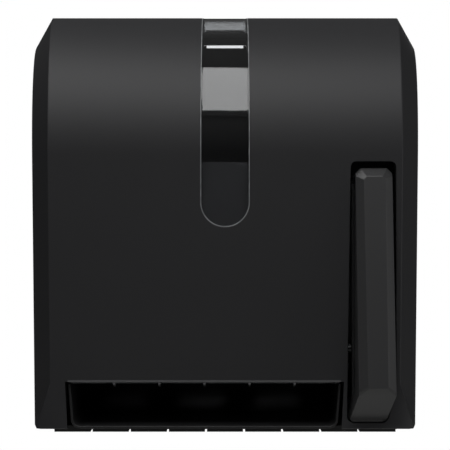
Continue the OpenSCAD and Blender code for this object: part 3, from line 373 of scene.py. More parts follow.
# Polished styrene mirrors the lamps sharply and bends what is seen through it. A lamp's light goes
# straight through, because rays that bend would leave the inside too dark.
clear_window, window_shader = new_material(
    "clear styrene", "#f2f4f6", IOR=1.57, Roughness=0.02, Transmission_Weight=1.0
)
light_path = add(clear_window, "ShaderNodeLightPath")
straight_through = add(clear_window, "ShaderNodeBsdfTransparent")
window_mix = add(
    clear_window, "ShaderNodeMixShader",
    [
        (0, light_path.outputs["Is Shadow Ray"]),
        (1, window_shader.outputs[0]),
        (2, straight_through.outputs[0]),
    ],
)
window_surface = clear_window.node_tree.nodes["Material Output"].inputs["Surface"]
plug(clear_window, window_mix.outputs[0], window_surface)

SLOT_MATERIALS = {
    "cover_plastic": cover_black,
    "chassis_plastic": chassis_black,
    "inner_plastic": inner_black,
    "paddle_plastic": paddle_black,
    "gear_plastic": gear_grey,
    "clear_plastic": clear_window,
    "steel": bright_steel,
    "screw_steel": screw_zinc,
    "spring_steel": spring_wire,
    "grip_rubber": grip_rubber,
}
for part in frame["record"]["subparts"]:
    node = frame["nodes"][part["node"]]
    node.data.materials.clear()
    node.data.materials.append(SLOT_MATERIALS[part["material_slot"]])
print(len(frame["nodes"]), "nodes given the finish of their slots")

# %% [markdown]
# ## The cover
# The real cover is one moulding, about two and a half millimetres thick, open at the back and the bottom.
# Seen from the side it is a box whose top front edge is one big quarter circle, and a flat chamfer runs up
# each side and over that curve. A side profile could be extruded instead, but the chamfer would then be
# built point by point. We start with a box, bevel one edge with the big radius, and push the two side
# faces out with an inset, which gives the chamfer in one move. Planes then trim the sides, back and bottom.

# %% The cover's skin
CHAMFER_SLOPE = CHAMFER_RUN / CHAMFER_DEPTH - math.tan(SIDE_DRAFT)
FACE_HALF = BODY_HALF - CHAMFER_RUN
SPARE = 75 * MM
COVER_LIFT = up(7.5)
ARC_STEPS = 56
AXIS_Y, AXIS_Z = 1, 2


def curved_slab(name, half, inset, low, back):
    """A box with the cover's big quarter circle along its top front edge, drawn in by an inset."""
    front, top = FRONT_Y + inset, TOP_Z - inset
    slab = start_box(name, (-half, front, low), (half, back, top))
    edit(slab)
    pick("edges", lambda e: all(v.co.y < front + MM and v.co.z > top - MM for v in e.verts))
    bpy.ops.mesh.bevel(
        offset=TOP_RADIUS - inset, offset_type="OFFSET", segments=ARC_STEPS, profile=0.5,
        affect="EDGES", clamp_overlap=False,
    )
    return slab


def spread(axis, shift):
    """Move each side of the piece in edit mode outwards, level by level, by each level's own shift."""
    mesh = bmesh.from_edit_mesh(bpy.context.object.data)
    for level in sorted({round(v.co[axis], 5) for v in mesh.verts}):
        for side in (1, -1):
            if pick("verts", lambda v: round(v.co[axis], 5) == level and v.co.x * side > 0):
                bpy.ops.transform.translate(value=(side * shift(level), 0, 0))


cover = curved_slab("front_cover_skin", FACE_HALF, 0, COVER_LIFT - SPARE, BACK_Y + SPARE)
pick("faces", lambda f: abs(f.normal.x) > SQUARE)
bpy.ops.mesh.inset(thickness=SPARE, depth=SPARE * CHAMFER_SLOPE, use_even_offset=True)

# The sides open towards the wall, and below the curve they lean in a little
spread(AXIS_Y, lambda y: math.tan(SIDE_DRAFT) * (y - FRONT_Y))
spread(AXIS_Z, lambda z: math.tan(SIDE_TAPER) * min(z - ARC_Z, 0))

for side in (1, -1):
    slice_off(
        (side * BODY_HALF, FRONT_Y + CHAMFER_DEPTH, ARC_Z),
        (
            side * math.cos(SIDE_TAPER) * math.cos(SIDE_DRAFT),
            -math.cos(SIDE_TAPER) * math.sin(SIDE_DRAFT),
            -math.sin(SIDE_TAPER),
        ),
    )
slice_off((0, BACK_Y, 0), (0, 1, 0), fill=False)
slice_off((0, 0, COVER_LIFT), (0, 0, -1), fill=False)
done()
print("cover skin", len(cover.data.polygons), "faces", [round(v, 4) for v in cover.dimensions])

# %% [markdown]
# ## The cover's lower corners
# Near the lower edge the chamfer narrows to almost nothing, so that the mouth has a broad frame. We cut
# across the skin where the narrowing starts, fold the chamfer along a diagonal, and pull the two lower
# front corners out. The skin then gets its wall, which is the same all over, as a moulding needs.

# %% The flared corners and the wall
FLARE_TOP = up(43.7)
FLARE_RUN = 11.2 * MM
FOLD_REACH = 2 * MM


def on_front(vertex):
    """Whether a vertex lies on the cover's flat front."""
    return vertex.co.y < FRONT_Y + NEAR


def on_foot(vertex):
    """Whether a vertex lies on the cover's lower edge."""
    return vertex.co.z < COVER_LIFT + NEAR


def ends_fold(vertex):
    """Whether a vertex is an end of the diagonal along which a lower corner folds."""
    at_top = abs(vertex.co.z - FLARE_TOP) < NEAR and on_front(vertex)
    at_side = on_foot(vertex) and abs(vertex.co.y - FRONT_Y - CHAMFER_DEPTH) < FOLD_REACH
    return at_top or at_side


edit(cover)
bpy.ops.mesh.select_all(action="SELECT")
bpy.ops.mesh.bisect(plane_co=(0, 0, FLARE_TOP), plane_no=(0, 0, 1))
for side in (1, -1):
    pick("verts", lambda v: v.co.x * side > 0 and ends_fold(v))
    bpy.ops.mesh.vert_connect_path()
    pick("verts", lambda v: v.co.x * side > 0 and on_foot(v) and on_front(v))
    bpy.ops.transform.translate(value=(side * FLARE_RUN, 0, 0))
bpy.ops.mesh.select_all(action="SELECT")
bpy.ops.mesh.normals_make_consistent(inside=False)
done()
apply_modifier(cover, "SOLIDIFY", thickness=COVER_WALL, offset=-1, use_even_offset=True)
print("cover wall", len(cover.data.polygons), "faces")

# %% [markdown]
# ## Openings in the cover
# Three openings are cut through the wall: the window's long slot, the slot that the paddle works in, and
# the mouth where the paper hangs out. Their outlines could be drawn into the skin's faces, but the curve
# would need a cut at every step. Each cutter is a small solid of its own, so a boolean does the rest.

# %% Cutters
WINDOW_HALF = 20.5 * MM
WINDOW_END = up(194.5)
WINDOW_BACK = -60 * MM
CUT = 12 * MM


def window_cutter(name, margin, back=None):
    """The window's outline seen from the front, as a solid: straight sides and a round lower end."""
    half = WINDOW_HALF + margin
    front = FRONT_Y - CUT
    column_back = WINDOW_BACK + margin if back is None else back
    column = start_box(name, (-half, front, WINDOW_END), (half, column_back, TOP_Z + CUT))
    deep = min(column_back - front, 2 * CUT)
    end = start_rod(name + "_end", (0, front + deep / 2, WINDOW_END), half, deep, axis="Y", sides=96)
    boolean(column, end, "UNION")
    return column


def upright_cutter(name, corners, radius):
    """A solid that goes through the front wall, with an outline of corners that may be rounded."""
    bpy.ops.object.select_all(action="DESELECT")
    bpy.ops.mesh.primitive_circle_add(vertices=len(corners), radius=MM, fill_type="NGON")
    cutter = bpy.context.object
    cutter.name = name
    edit(cutter)
    starts = [v.co.copy() for v in cutter.data.vertices]
    for index, (x, z) in enumerate(corners):
        pick("verts", lambda v: v.index == index)
        bpy.ops.transform.translate(value=Vector((x, FRONT_Y - CUT, z)) - starts[index])
    bpy.ops.mesh.select_all(action="SELECT")
    bpy.ops.mesh.extrude_region_move(TRANSFORM_OT_translate={"value": (0, 2 * CUT, 0)})
    if radius:
        pick("edges", lambda e: abs((e.verts[0].co - e.verts[1].co).normalized().y) > MOSTLY)
        bpy.ops.mesh.bevel(offset=radius, segments=8, profile=0.5, affect="EDGES", clamp_overlap=False)
    bpy.ops.mesh.select_all(action="SELECT")
    bpy.ops.mesh.normals_make_consistent(inside=False)
    done()
    return cutter


# %% The three openings
PADDLE_HALF = 15.3 * MM
PADDLE_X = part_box("push_paddle")[1].x - PADDLE_HALF
SLOT_LOW = up(12.2)
SLOT_HIGH = up(228.4)
SLOT_CORNER = 5 * MM
GAP_LEFT = 5 * MM
GAP_RIGHT = 2 * MM
SLOT_LEFT = PADDLE_X - PADDLE_HALF - GAP_LEFT
SLOT_RIGHT = PADDLE_X + PADDLE_HALF + GAP_RIGHT
SLOT_LEAN = 3 * MM
HEEL = 7.2 * MM
HEEL_TOP = up(42)
PAPER_X = -17 * MM
EXIT_HALF = 115.5 * MM
EXIT_LEAN = 2.5 * MM
EXIT_TOP = up(46.1)

slot_corners = [
    (SLOT_LEFT - SLOT_LEAN, SLOT_LOW),
    (SLOT_RIGHT - HEEL, SLOT_LOW),
    (SLOT_RIGHT, HEEL_TOP),
    (SLOT_RIGHT, SLOT_HIGH),
    (SLOT_LEFT, SLOT_HIGH),
]
exit_corners = [
    (PAPER_X - EXIT_HALF + EXIT_LEAN, COVER_LIFT - CUT),
    (PAPER_X + EXIT_HALF - EXIT_LEAN, COVER_LIFT - CUT),
    (PAPER_X + EXIT_HALF, EXIT_TOP),
    (PAPER_X - EXIT_HALF, EXIT_TOP),
]
boolean(cover, window_cutter("window_hole", 0), "DIFFERENCE")
boolean(cover, upright_cutter("paddle_hole", slot_corners, SLOT_CORNER), "DIFFERENCE")
boolean(cover, upright_cutter("paper_hole", exit_corners, 0), "DIFFERENCE")
print("cover with its openings", len(cover.data.polygons), "faces")

# %% [markdown]
# ## The lip over the mouth
# A small lip along the top of the mouth turns outwards, so that the paper isn't torn on the edge, and five
# ribs below it lead the paper's end. Both are wedges: a box with one slice taken off, joined to the cover.
# A crease in the skin would do for a distant view, but the lip's shadow is what draws the mouth's line.

# %% The mouth's lip and ribs
LIP_HALF = 113 * MM
LIP_TALL = 1.9 * MM
LIP_OUT = 1.15 * MM
LIP_SLOPE = 1.1
RIB_COUNT = 5
RIB_PITCH = 37.3 * MM
RIB_HALF = 0.9 * MM
RIB_TALL = 2.6 * MM
RIB_OUT = 0.8 * MM

mouth_lip = start_box(
    "mouth_lip", (PAPER_X - LIP_HALF, FRONT_Y - LIP_OUT, EXIT_TOP),
    (PAPER_X + LIP_HALF, FRONT_Y + COVER_WALL / 2, EXIT_TOP + LIP_TALL),
)
edit(mouth_lip)
slice_off((0, FRONT_Y, EXIT_TOP + LIP_TALL), (0, -LIP_TALL, LIP_OUT * LIP_SLOPE))
done()
boolean(cover, mouth_lip, "UNION")
for place in range(RIB_COUNT):
    rib_x = PAPER_X + (place - (RIB_COUNT - 1) / 2) * RIB_PITCH
    rib = start_box(
        "rib", (rib_x - RIB_HALF, FRONT_Y - LIP_OUT - RIB_OUT, EXIT_TOP - RIB_TALL),
        (rib_x + RIB_HALF, FRONT_Y + COVER_WALL - SEAT, EXIT_TOP + LIP_TALL / 2),
    )
    edit(rib)
    slice_off((0, FRONT_Y - LIP_OUT / 2, EXIT_TOP + LIP_TALL / 4), (0, -RIB_TALL, RIB_OUT + LIP_OUT / 2))
    done()
    boolean(cover, rib, "UNION")
print("cover with its lip", len(cover.data.polygons), "faces")

# %% [markdown]
# ## What the cover carries
# Inside, the moulding has a lip along its upper rear edge, an ear for the hinge pin in each lower rear
# corner, a boss for the lock, a wall beside the paddle's slot that keeps fingers out, and a pocket that
# backs the lower end of the window. Each could be a piece of its own, but they are one moulding with the
# cover, so they are joined to it, and the bores are cut last, through everything.

# %% Lip, ears, boss, wall and pocket
pins_low, pins_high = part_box("cover_hinge_pins")
lock_low, lock_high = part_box("lock_barrel")
lock_place = (lock_low + lock_high) / 2
HINGE = Vector((0, (pins_low.y + pins_high.y) / 2, (pins_low.z + pins_high.z) / 2))
HINGE_PIN_R = 3 * MM
LOCK_R = (lock_high.x - lock_low.x) / 2
PIN_CLEAR = 0.05 * MM
PAST_SIDES = 0.2
REAR_LIP_HALF = 161 * MM
REAR_LIP_GAP = 0.4 * MM
REAR_LIP_DOWN = 1.3 * MM
EAR_W = 11.7 * MM
EAR_R = 9 * MM
EAR_PAST_PIN = 1.2 * MM
BOSS_TALL = 15 * MM
BOSS_DOWN = 9 * MM
SLOT_WALL = 2 * MM
SLOT_WALL_DEEP = 19 * MM
FLANGE = 4 * MM
POCKET_WALL = 2 * MM
POCKET_DEEP = 2.3 * MM
POCKET_DOWN = 6 * MM

hinge_room = start_box(
    "hinge_room", (-PAST_SIDES, HINGE.y, COVER_LIFT - CUT), (PAST_SIDES, BACK_Y + CUT, HINGE.z)
)
boolean(cover, hinge_room, "DIFFERENCE")
rear_lip = start_box(
    "lip", (-REAR_LIP_HALF, BACK_Y - COVER_WALL, plate_high.z + REAR_LIP_GAP),
    (REAR_LIP_HALF, BACK_Y, TOP_Z - REAR_LIP_DOWN),
)
boolean(cover, rear_lip, "UNION")
for side in (1, -1):
    ear_x = pins_high.x + EAR_PAST_PIN - EAR_W / 2
    ear = start_rod("ear", (side * ear_x, HINGE.y, HINGE.z), EAR_R, EAR_W, axis="X", sides=48)
    boolean(cover, ear, "UNION")
boss = start_rod("boss", (lock_place.x, lock_place.y, TOP_Z - BOSS_DOWN), LOCK_R + COVER_WALL, BOSS_TALL)
boolean(cover, boss, "UNION")
slot_wall = start_box(
    "slot_wall", (SLOT_RIGHT + SEAT, FRONT_Y + COVER_WALL / 2, SLOT_LOW + SLOT_CORNER),
    (SLOT_RIGHT + SLOT_WALL, FRONT_Y + SLOT_WALL_DEEP, SLOT_HIGH - SEAT),
)
boolean(cover, slot_wall, "UNION")
pocket_half = WINDOW_HALF + FLANGE + SEAT + POCKET_WALL
pocket_back = FRONT_Y + COVER_WALL + POCKET_DEEP
pocket = start_box(
    "pocket", (-pocket_half, FRONT_Y + COVER_WALL / 2, WINDOW_END - pocket_half),
    (pocket_half, pocket_back + POCKET_WALL, ARC_Z - POCKET_DOWN),
)
boolean(pocket, window_cutter("pocket_room", FLANGE + SEAT, pocket_back), "DIFFERENCE")
boolean(cover, pocket, "UNION")
lock_bore = start_rod("lock_bore", lock_place, LOCK_R + PIN_CLEAR, 4 * BOSS_TALL)
boolean(cover, lock_bore, "DIFFERENCE")
pin_bore = start_rod("pin_bore", HINGE, HINGE_PIN_R + PIN_CLEAR, 2.5 * PAST_SIDES, axis="X", sides=32)
boolean(cover, pin_bore, "DIFFERENCE")
print("cover with all it carries", len(cover.data.polygons), "faces")

# %% [markdown]
# ## Edges of the cover
# No moulded edge is knife sharp. A bevel on every edge would also blunt the seats inside, so only two
# kinds are rounded: the long blunt corners between the front, the chamfers and the sides, and the outer
# rims of the window's hole and the paddle's slot, which each draw a thin line of light.

# %% The cover's rounded edges
RIM_ANGLE = math.radians(57)
CORNER_LEAST = math.radians(12)
CORNER_MOST = math.radians(60)
CORNER_ROUND = 0.9 * MM
RIM_ROUND = 0.5 * MM


def below_skin(point):
    """How deep a point lies below the cover's front, its curve or its top."""
    if point.z < ARC_Z:
        return point.y - FRONT_Y
    if point.y > ARC_Y:
        return TOP_Z - point.z
    return TOP_RADIUS - math.hypot(point.y - ARC_Y, point.z - ARC_Z)


def on_rim(edge):
    """Whether an edge is part of the outer rim of the window's hole or of the paddle's slot."""
    if edge.calc_face_angle(0) < RIM_ANGLE:
        return False
    by_window = all(abs(v.co.x) < WINDOW_HALF + MM and v.co.z > EXIT_TOP + MM for v in edge.verts)
    by_slot = all(v.co.x > SLOT_LEFT - SLOT_LEAN - MM and v.co.z > SLOT_LOW - MM for v in edge.verts)
    return (by_window or by_slot) and all(below_skin(v.co) < NEAR / 2 for v in edge.verts)


def on_corner(edge):
    """Whether an edge is one of the long blunt corners between the front, the chamfers and the sides."""
    return edge.is_convex and CORNER_LEAST < edge.calc_face_angle(0) < CORNER_MOST


edit(cover)
for test, width in ((on_corner, CORNER_ROUND), (on_rim, RIM_ROUND)):
    print(test.__name__, pick("edges", test), "edges")
    bpy.ops.mesh.bevel(offset=width, segments=3, profile=0.5, affect="EDGES", clamp_overlap=False)
done()
shade(cover)
dress(cover, "cover", "cover_plastic", cover_black, "front_cover")

# %% [markdown]
# ## The window
# The clear window is glued in from behind by a flange. Its face follows the cover's curve and lies just
# below it, and a narrow sloping border all round catches the light. A flat sheet could be bent to the
# curve, but cutting it from the same curved slab as the cover makes the two fit by themselves.

# %% The window
PANE_THICK = 2.8 * MM
PANE_SINK = 0.1 * MM
FLANGE_THICK = 2 * MM
FLANGE_OVERLAP = 2.6 * MM
BORDER = 1.2 * MM
BORDER_SINK = 0.3 * MM
BORDER_ANGLE = 6
RIM_IN = 0.6 * MM


def curved_strip(name, inset, thickness):
    """A strip that follows the cover's curve at a depth below its surface."""
    low = WINDOW_END - WINDOW_HALF - 2 * FLANGE
    strip = curved_slab(name, WINDOW_HALF + 2 * FLANGE, inset, low, WINDOW_BACK + 2 * FLANGE)
    pick("faces", lambda f: abs(f.normal.x) > SQUARE or f.normal.y > SQUARE or f.normal.z < -SQUARE)
    bpy.ops.mesh.delete(type="FACE")
    done()
    apply_modifier(strip, "SOLIDIFY", thickness=thickness, offset=-1, use_even_offset=True)
    return strip


def faces_out(face):
    """Whether a face of the window looks outwards, away from the middle of the cover's curve."""
    centre = face.calc_center_median()
    outward = Vector((0, min(centre.y - ARC_Y, 0), max(centre.z - ARC_Z, 0))).normalized()
    return face.normal.dot(outward) > MOSTLY


window = curved_strip("window_pane", PANE_SINK, PANE_THICK)
boolean(window, window_cutter("pane_outline", -RIM_IN), "INTERSECT")
flange = curved_strip("window_flange", COVER_WALL + SEAT / 2, FLANGE_THICK)
boolean(flange, window_cutter("flange_outline", FLANGE), "INTERSECT")
boolean(flange, window_cutter("flange_middle", -FLANGE_OVERLAP), "DIFFERENCE")

edit(window)
print("window faces that look out:", pick("faces", faces_out))
bpy.ops.mesh.inset(thickness=BORDER, depth=-BORDER_SINK, use_even_offset=True)
done()
boolean(window, flange, "UNION")
shade(window, BORDER_ANGLE)
dress(window, "cover", "clear_plastic", clear_window, "window")

# %% [markdown]
# ## The window's edge
# Where the clear plastic was cut, its edge is satin and gathers some light, and the pale line round the
# window is also painted into it as a highlight. Clear plastic alone would show that line only by luck, so
# the edge is a thin rim of its own, in the gap between the pane and the cover, whose pale patches are the
# painted highlight.

# %% The window's rim
RIM_OUT = 0.1 * MM
RIM_SINK = 0.05 * MM
RIM_SHORT = 0.2 * MM
RIM_GAP = 0.02 * MM
rim = curved_strip("window_rim", RIM_SINK, COVER_WALL - RIM_SHORT)
boolean(rim, window_cutter("rim_outline", -RIM_OUT), "INTERSECT")
boolean(rim, window_cutter("rim_middle", -RIM_IN - RIM_GAP), "DIFFERENCE")
shade(rim)
# The rim's colour carries a painted highlight: pale patches of light along the window's edge
dress(rim, "cover", "clear_plastic", satin_edge_painted_highlight)

# %% [markdown]
# ## The paddle
# The paddle is a long wedge that stands further out at its foot. Every one of its faces is flat, so it is
# carved: we begin with a block and slice off what lies beyond each face in turn, then round the edges.
# Moving the corners of a block would bend its faces; a slice always leaves a flat one.

# %% The paddle's faces
PADDLE_BACK = FRONT_Y + 23 * MM
SHOULDER = 6 * MM
HEAD = Vector((0, FRONT_Y + 3 * MM, up(223)))
FACE_TOP = Vector((0, FRONT_Y - 5 * MM, up(216)))
FACE_LOW = Vector((0, FRONT_Y - 35 * MM, up(44.5)))
FOOT_TOP = Vector((0, FRONT_Y - 29 * MM, up(38.3)))
FOOT_LOW = Vector((0, FRONT_Y + 3 * MM, up(13)))
FACE_TOP_HALF = 9 * MM
FACE_LOW_HALF = 8.2 * MM
FACET_IN = 2.4 * MM
FACET_DOWN = 3 * MM
HEAD_CORNER = 4.5 * MM
FOOT_LEAN = 5 * MM
SKIN_X = Vector((PADDLE_X - MM, 0, 0))


def facing(low, high):
    """The outward normal of a face that runs straight across the paddle, from one edge to a higher one."""
    return Vector((1, 0, 0)).cross(high - low).normalized()


def through(first, second, third):
    """A point and the outward normal of the plane through three places on the paddle."""
    normal = (second - first).cross(third - first).normalized()
    return first + SKIN_X, -normal if normal.y > 0 else normal


def paddle_planes():
    """Every flat face of the paddle, as a point on it and its outward normal."""
    steps = ((FACE_LOW, FACE_TOP), (FACE_TOP, HEAD), (FOOT_TOP, FACE_LOW), (FOOT_LOW, FOOT_TOP))
    planes = [(low + SKIN_X, facing(low, high)) for low, high in steps]
    inwards = -facing(FACE_LOW, FACE_TOP) * SHOULDER
    along = (FACE_LOW - FACE_TOP).normalized()
    for side in (1, -1):
        top = FACE_TOP + Vector((side * FACE_TOP_HALF, 0, 0))
        low = FACE_LOW + Vector((side * FACE_LOW_HALF, 0, 0))
        wall = FACE_TOP + Vector((side * PADDLE_HALF, 0, 0)) + inwards
        planes.append(through(top, low, wall))
        inner = FACE_TOP + Vector((side * (FACE_TOP_HALF - FACET_IN), 0, 0))
        corner = HEAD + Vector((side * (PADDLE_HALF - HEAD_CORNER), 0, 0))
        planes.append(through(top + along * FACET_DOWN, inner, corner))
        planes.append((corner + SKIN_X, Vector((side, 0, 1)).normalized()))
        inner = FACE_LOW + Vector((side * (FACE_LOW_HALF - FACET_IN / 2), 0, 0))
        corner = FOOT_TOP + Vector((side * (PADDLE_HALF - FACET_IN / 2), 0, 0))
        planes.append(through(low - along * FACET_DOWN / 2, inner, corner))
    return planes


def carved_block(name, inset, back):
    """A block carved by the paddle's faces, each moved inwards by an inset, left in edit mode."""
    half = Vector((PADDLE_HALF - inset, 0, 0))
    block = start_box(
        name, SKIN_X - half + Vector((0, FACE_LOW.y, FOOT_LOW.z + inset)),
        SKIN_X + half + Vector((0, back, HEAD.z - inset)),
    )
    edit(block)
    for point, normal in paddle_planes():
        slice_off(point - normal * inset, normal)
    bpy.ops.mesh.select_all(action="SELECT")
    bpy.ops.mesh.bisect(plane_co=FOOT_TOP, plane_no=(0, 0, 1))
    pick("verts", lambda v: v.co.z < FOOT_LOW.z + inset + NEAR)
    bpy.ops.transform.translate(value=(-FOOT_LEAN, 0, 0))
    return block


print(len(paddle_planes()), "flat faces to carve")

# %% The paddle's shell
PADDLE_WALL = 2.4 * MM
FOOT_ROUND = 3.5 * MM
EDGE_ROUND = 0.5 * MM
EDGE_ANGLE = math.radians(12)
SPECK = 0.02 * MM


def on_foot_corner(edge):
    """Whether an edge is one of the paddle's two lower corners, which are rounder than its other edges."""
    first, second = edge.verts
    low = all(v.co.z < FOOT_LOW.z + MM for v in edge.verts)
    return low and abs(first.co.x - second.co.x) < NEAR


def shows_in_front(edge):
    """Whether an edge parts two faces of the paddle and isn't on its open back."""
    return edge.calc_face_angle(0) > EDGE_ANGLE and any(v.co.y < PADDLE_BACK - MM for v in edge.verts)


paddle = carved_block("push_paddle_skin", 0, PADDLE_BACK)
pick("edges", on_foot_corner)
bpy.ops.mesh.bevel(offset=FOOT_ROUND, segments=6, profile=0.5, affect="EDGES", clamp_overlap=True)
pick("edges", shows_in_front)
bpy.ops.mesh.bevel(offset=EDGE_ROUND, segments=3, profile=0.5, affect="EDGES", clamp_overlap=True)
bpy.ops.mesh.select_all(action="SELECT")
bpy.ops.mesh.dissolve_degenerate(threshold=SPECK)
bpy.ops.mesh.normals_make_consistent(inside=False)
done()
hollow = carved_block("hollow", PADDLE_WALL, PADDLE_BACK + MM)
done()
boolean(paddle, hollow, "DIFFERENCE")
print("paddle shell", len(paddle.data.polygons), "faces")

# %% [markdown]
# ## What the paddle carries
# Behind its head the paddle has a boss that turns on a steel pin, a web that stiffens it, and a thin guard
# at its left that closes the gap when it is pushed in. The sector gear is screwed to it and needs room, so
# a pocket is cut for it first. All of this is plain boxes and a rod, because only its edges ever show.

# %% The paddle's pivot and guard
gear_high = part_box("sector_gear")[1]
pin_low, pin_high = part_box("paddle_pivot_pin")
PIVOT = Vector((
    (gear_high.x + pin_high.x) / 2,
    (pin_low.y + pin_high.y) / 2,
    (pin_low.z + pin_high.z) / 2,
))
PIVOT_PIN_R = 4 * MM
PIVOT_BORE = 40 * MM
PADDLE_LEFT = PADDLE_X - PADDLE_HALF
WEB_THICK = 8 * MM
WEB_LEFT = gear_high.x + SEAT
WEB_RIGHT = WEB_LEFT + WEB_THICK
WEB_HIGH = PIVOT.z - 12 * MM
WEB_LOW = PIVOT.z - 56 * MM
WEB_PAST_PIN = 4 * MM
GEAR_POCKET_DEEP = 12 * MM
GEAR_POCKET_REACH = 20 * MM
GEAR_GAP = 0.4 * MM
PIN_END = 3 * MM
BOSS_LEFT = gear_high.x + GEAR_GAP
BOSS_RIGHT = pin_high.x - PIN_END
BOSS_R = 8 * MM
INSIDE_FRONT = FRONT_Y + 3 * MM
GUARD_OUT = 3 * MM
GUARD_IN = 1.2 * MM
GUARD_FRONT = PIVOT.y - 15 * MM
GUARD_BACK = PIVOT.y - 13 * MM
GUARD_LOW = up(16)
FACET_ANGLE = 20

gear_pocket = start_box(
    "gear_pocket", (PADDLE_LEFT - GUARD_OUT, PADDLE_BACK - GEAR_POCKET_DEEP, PIVOT.z - GEAR_POCKET_REACH),
    (WEB_LEFT, PADDLE_BACK + MM, PIVOT.z + GEAR_POCKET_REACH),
)
boolean(paddle, gear_pocket, "DIFFERENCE")
web = start_box("web", (WEB_LEFT, INSIDE_FRONT, WEB_LOW), (WEB_RIGHT, PIVOT.y + WEB_PAST_PIN, WEB_HIGH))
boolean(paddle, web, "UNION")
boss_block = start_box(
    "boss_block", (BOSS_LEFT, INSIDE_FRONT, PIVOT.z - BOSS_R), (BOSS_RIGHT, PIVOT.y, PIVOT.z + BOSS_R)
)
boolean(paddle, boss_block, "UNION")
boss_middle = Vector(((BOSS_LEFT + BOSS_RIGHT) / 2, PIVOT.y, PIVOT.z))
boss_rod = start_rod("boss", boss_middle, BOSS_R, BOSS_RIGHT - BOSS_LEFT, axis="X", sides=48)
boolean(paddle, boss_rod, "UNION")
guard = start_box(
    "guard", (PADDLE_LEFT - GUARD_OUT, GUARD_FRONT, GUARD_LOW),
    (PADDLE_LEFT + GUARD_IN, GUARD_BACK, PIVOT.z - MM),
)
boolean(paddle, guard, "UNION")
pivot_bore = start_rod("pivot_bore", PIVOT, PIVOT_PIN_R + PIN_CLEAR, PIVOT_BORE, axis="X", sides=48)
boolean(paddle, pivot_bore, "DIFFERENCE")
shade(paddle, FACET_ANGLE)
dress(paddle, "paddle", "paddle_plastic", paddle_black, "push_paddle")

# %% [markdown]
# ## The scoop
# Behind the mouth sits a scoop that catches the paper's end. It is a thin tray with leaning sides, round
# lower corners and a round back, open at the front and the top. It could be lofted from sections, but two
# bevels of an opened box, a wide one along the back and a narrow one at the sides, give the same form.

# %% The scoop
scoop_low, scoop_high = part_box("paper_scoop")
SCOOP_LEAN = 3 * MM
SCOOP_BACK_ROUND = 24 * MM
SCOOP_SIDE_ROUND = 7 * MM
SCOOP_WALL = 2 * MM
SCOOP_EDGE = 0.6 * MM
SCOOP_SHARP = math.radians(60)
SCOOP_EDGE_ANGLE = math.radians(40)


def on_scoop_heel(edge):
    """Whether an edge is the scoop's lower rear one."""
    return all(v.co.z < scoop_low.z + MM and v.co.y > scoop_high.y - MM for v in edge.verts)


scoop = start_box("paper_scoop_shell", scoop_low, scoop_high)
edit(scoop)
for side in (1, -1):
    pick("verts", lambda v: v.co.z < scoop_low.z + MM and (v.co.x - PAPER_X) * side > 0)
    bpy.ops.transform.translate(value=(-side * SCOOP_LEAN, 0, 0))
pick("faces", lambda f: f.normal.z > SQUARE or f.normal.y < -SQUARE)
bpy.ops.mesh.delete(type="FACE")
pick("edges", on_scoop_heel)
bpy.ops.mesh.bevel(offset=SCOOP_BACK_ROUND, segments=16, profile=0.5, affect="EDGES", clamp_overlap=True)
bpy.ops.mesh.select_mode(type="EDGE")
bpy.ops.mesh.select_all(action="DESELECT")
bpy.ops.mesh.edges_select_sharp(sharpness=SCOOP_SHARP)
bpy.ops.mesh.bevel(offset=SCOOP_SIDE_ROUND, segments=8, profile=0.5, affect="EDGES", clamp_overlap=True)
bpy.ops.mesh.select_all(action="SELECT")
bpy.ops.mesh.normals_make_consistent(inside=False)
done()
apply_modifier(scoop, "SOLIDIFY", thickness=SCOOP_WALL, offset=-1, use_even_offset=True)
apply_modifier(
    scoop, "BEVEL", width=SCOOP_EDGE, segments=3, limit_method="ANGLE",
    angle_limit=SCOOP_EDGE_ANGLE, harden_normals=False, miter_outer="MITER_ARC",
)
shade(scoop)
dress(scoop, "chassis", "inner_plastic", inner_black, "paper_scoop")

# %% [markdown]
# ## The springs
# A torsion spring winds up as its lever turns: one leg stays on the frame and the other goes with the
# lever.
# We copy the ready-made wires, which have six flat sides, and round them by subdivision. Each coil stays
# stiff where it lies in the frame, so its far leg doesn't follow the lever.

# %% The springs
WIRE_FLESH = 0.1 * MM
WIRE_MERGE = 0.005 * MM
WIRE_ANGLE = 60


def wound_springs(node, lever, names):
    """Springs copied from a node, rounded and finished as wire, each printed with the lever at its far end.
    """
    bpy.ops.object.select_all(action="DESELECT")
    bpy.ops.object.add(type="MESH")
    bpy.context.object.data = frame["nodes"][node].data.copy()
    edit(bpy.context.object)
    bpy.ops.mesh.select_all(action="SELECT")
    bpy.ops.mesh.remove_doubles(threshold=WIRE_MERGE)
    bpy.ops.mesh.tris_convert_to_quads()
    bpy.ops.transform.shrink_fatten(value=WIRE_FLESH)
    bpy.ops.mesh.separate(type="LOOSE")
    done()
    coils = sorted(bpy.context.selected_objects, key=lambda coil: coil.bound_box[0][0])
    for coil, name in zip(coils, names):
        coil.name = name
        coil.data.name = name
        apply_modifier(coil, "SUBSURF", levels=1, render_levels=1)
        shade(coil, WIRE_ANGLE)
        coil.data.materials.clear()
        coil.data.materials.append(spring_wire)
        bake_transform(coil)
        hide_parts(node)
        print(coil.name, len(coil.data.polygons), "faces, from chassis to", lever)


wound_springs("return_spring", "paddle", ["paddle_spring"])
wound_springs("pinch_springs", "pinch_unit", ["left_pinch_spring", "right_pinch_spring"])

# %% [markdown]
# ## The stage
# The dispenser hangs in front of a plain white room. The world is white to the camera and straight through
# clear plastic, and a dim studio to everything else, so that black plastic stays black. A white world for
# every ray would be simpler, but it would lay a grey veil over each face. The studio is dark around the
# camera and lighter higher up. A pale floor lies well below, and it too is lighter to the camera alone.

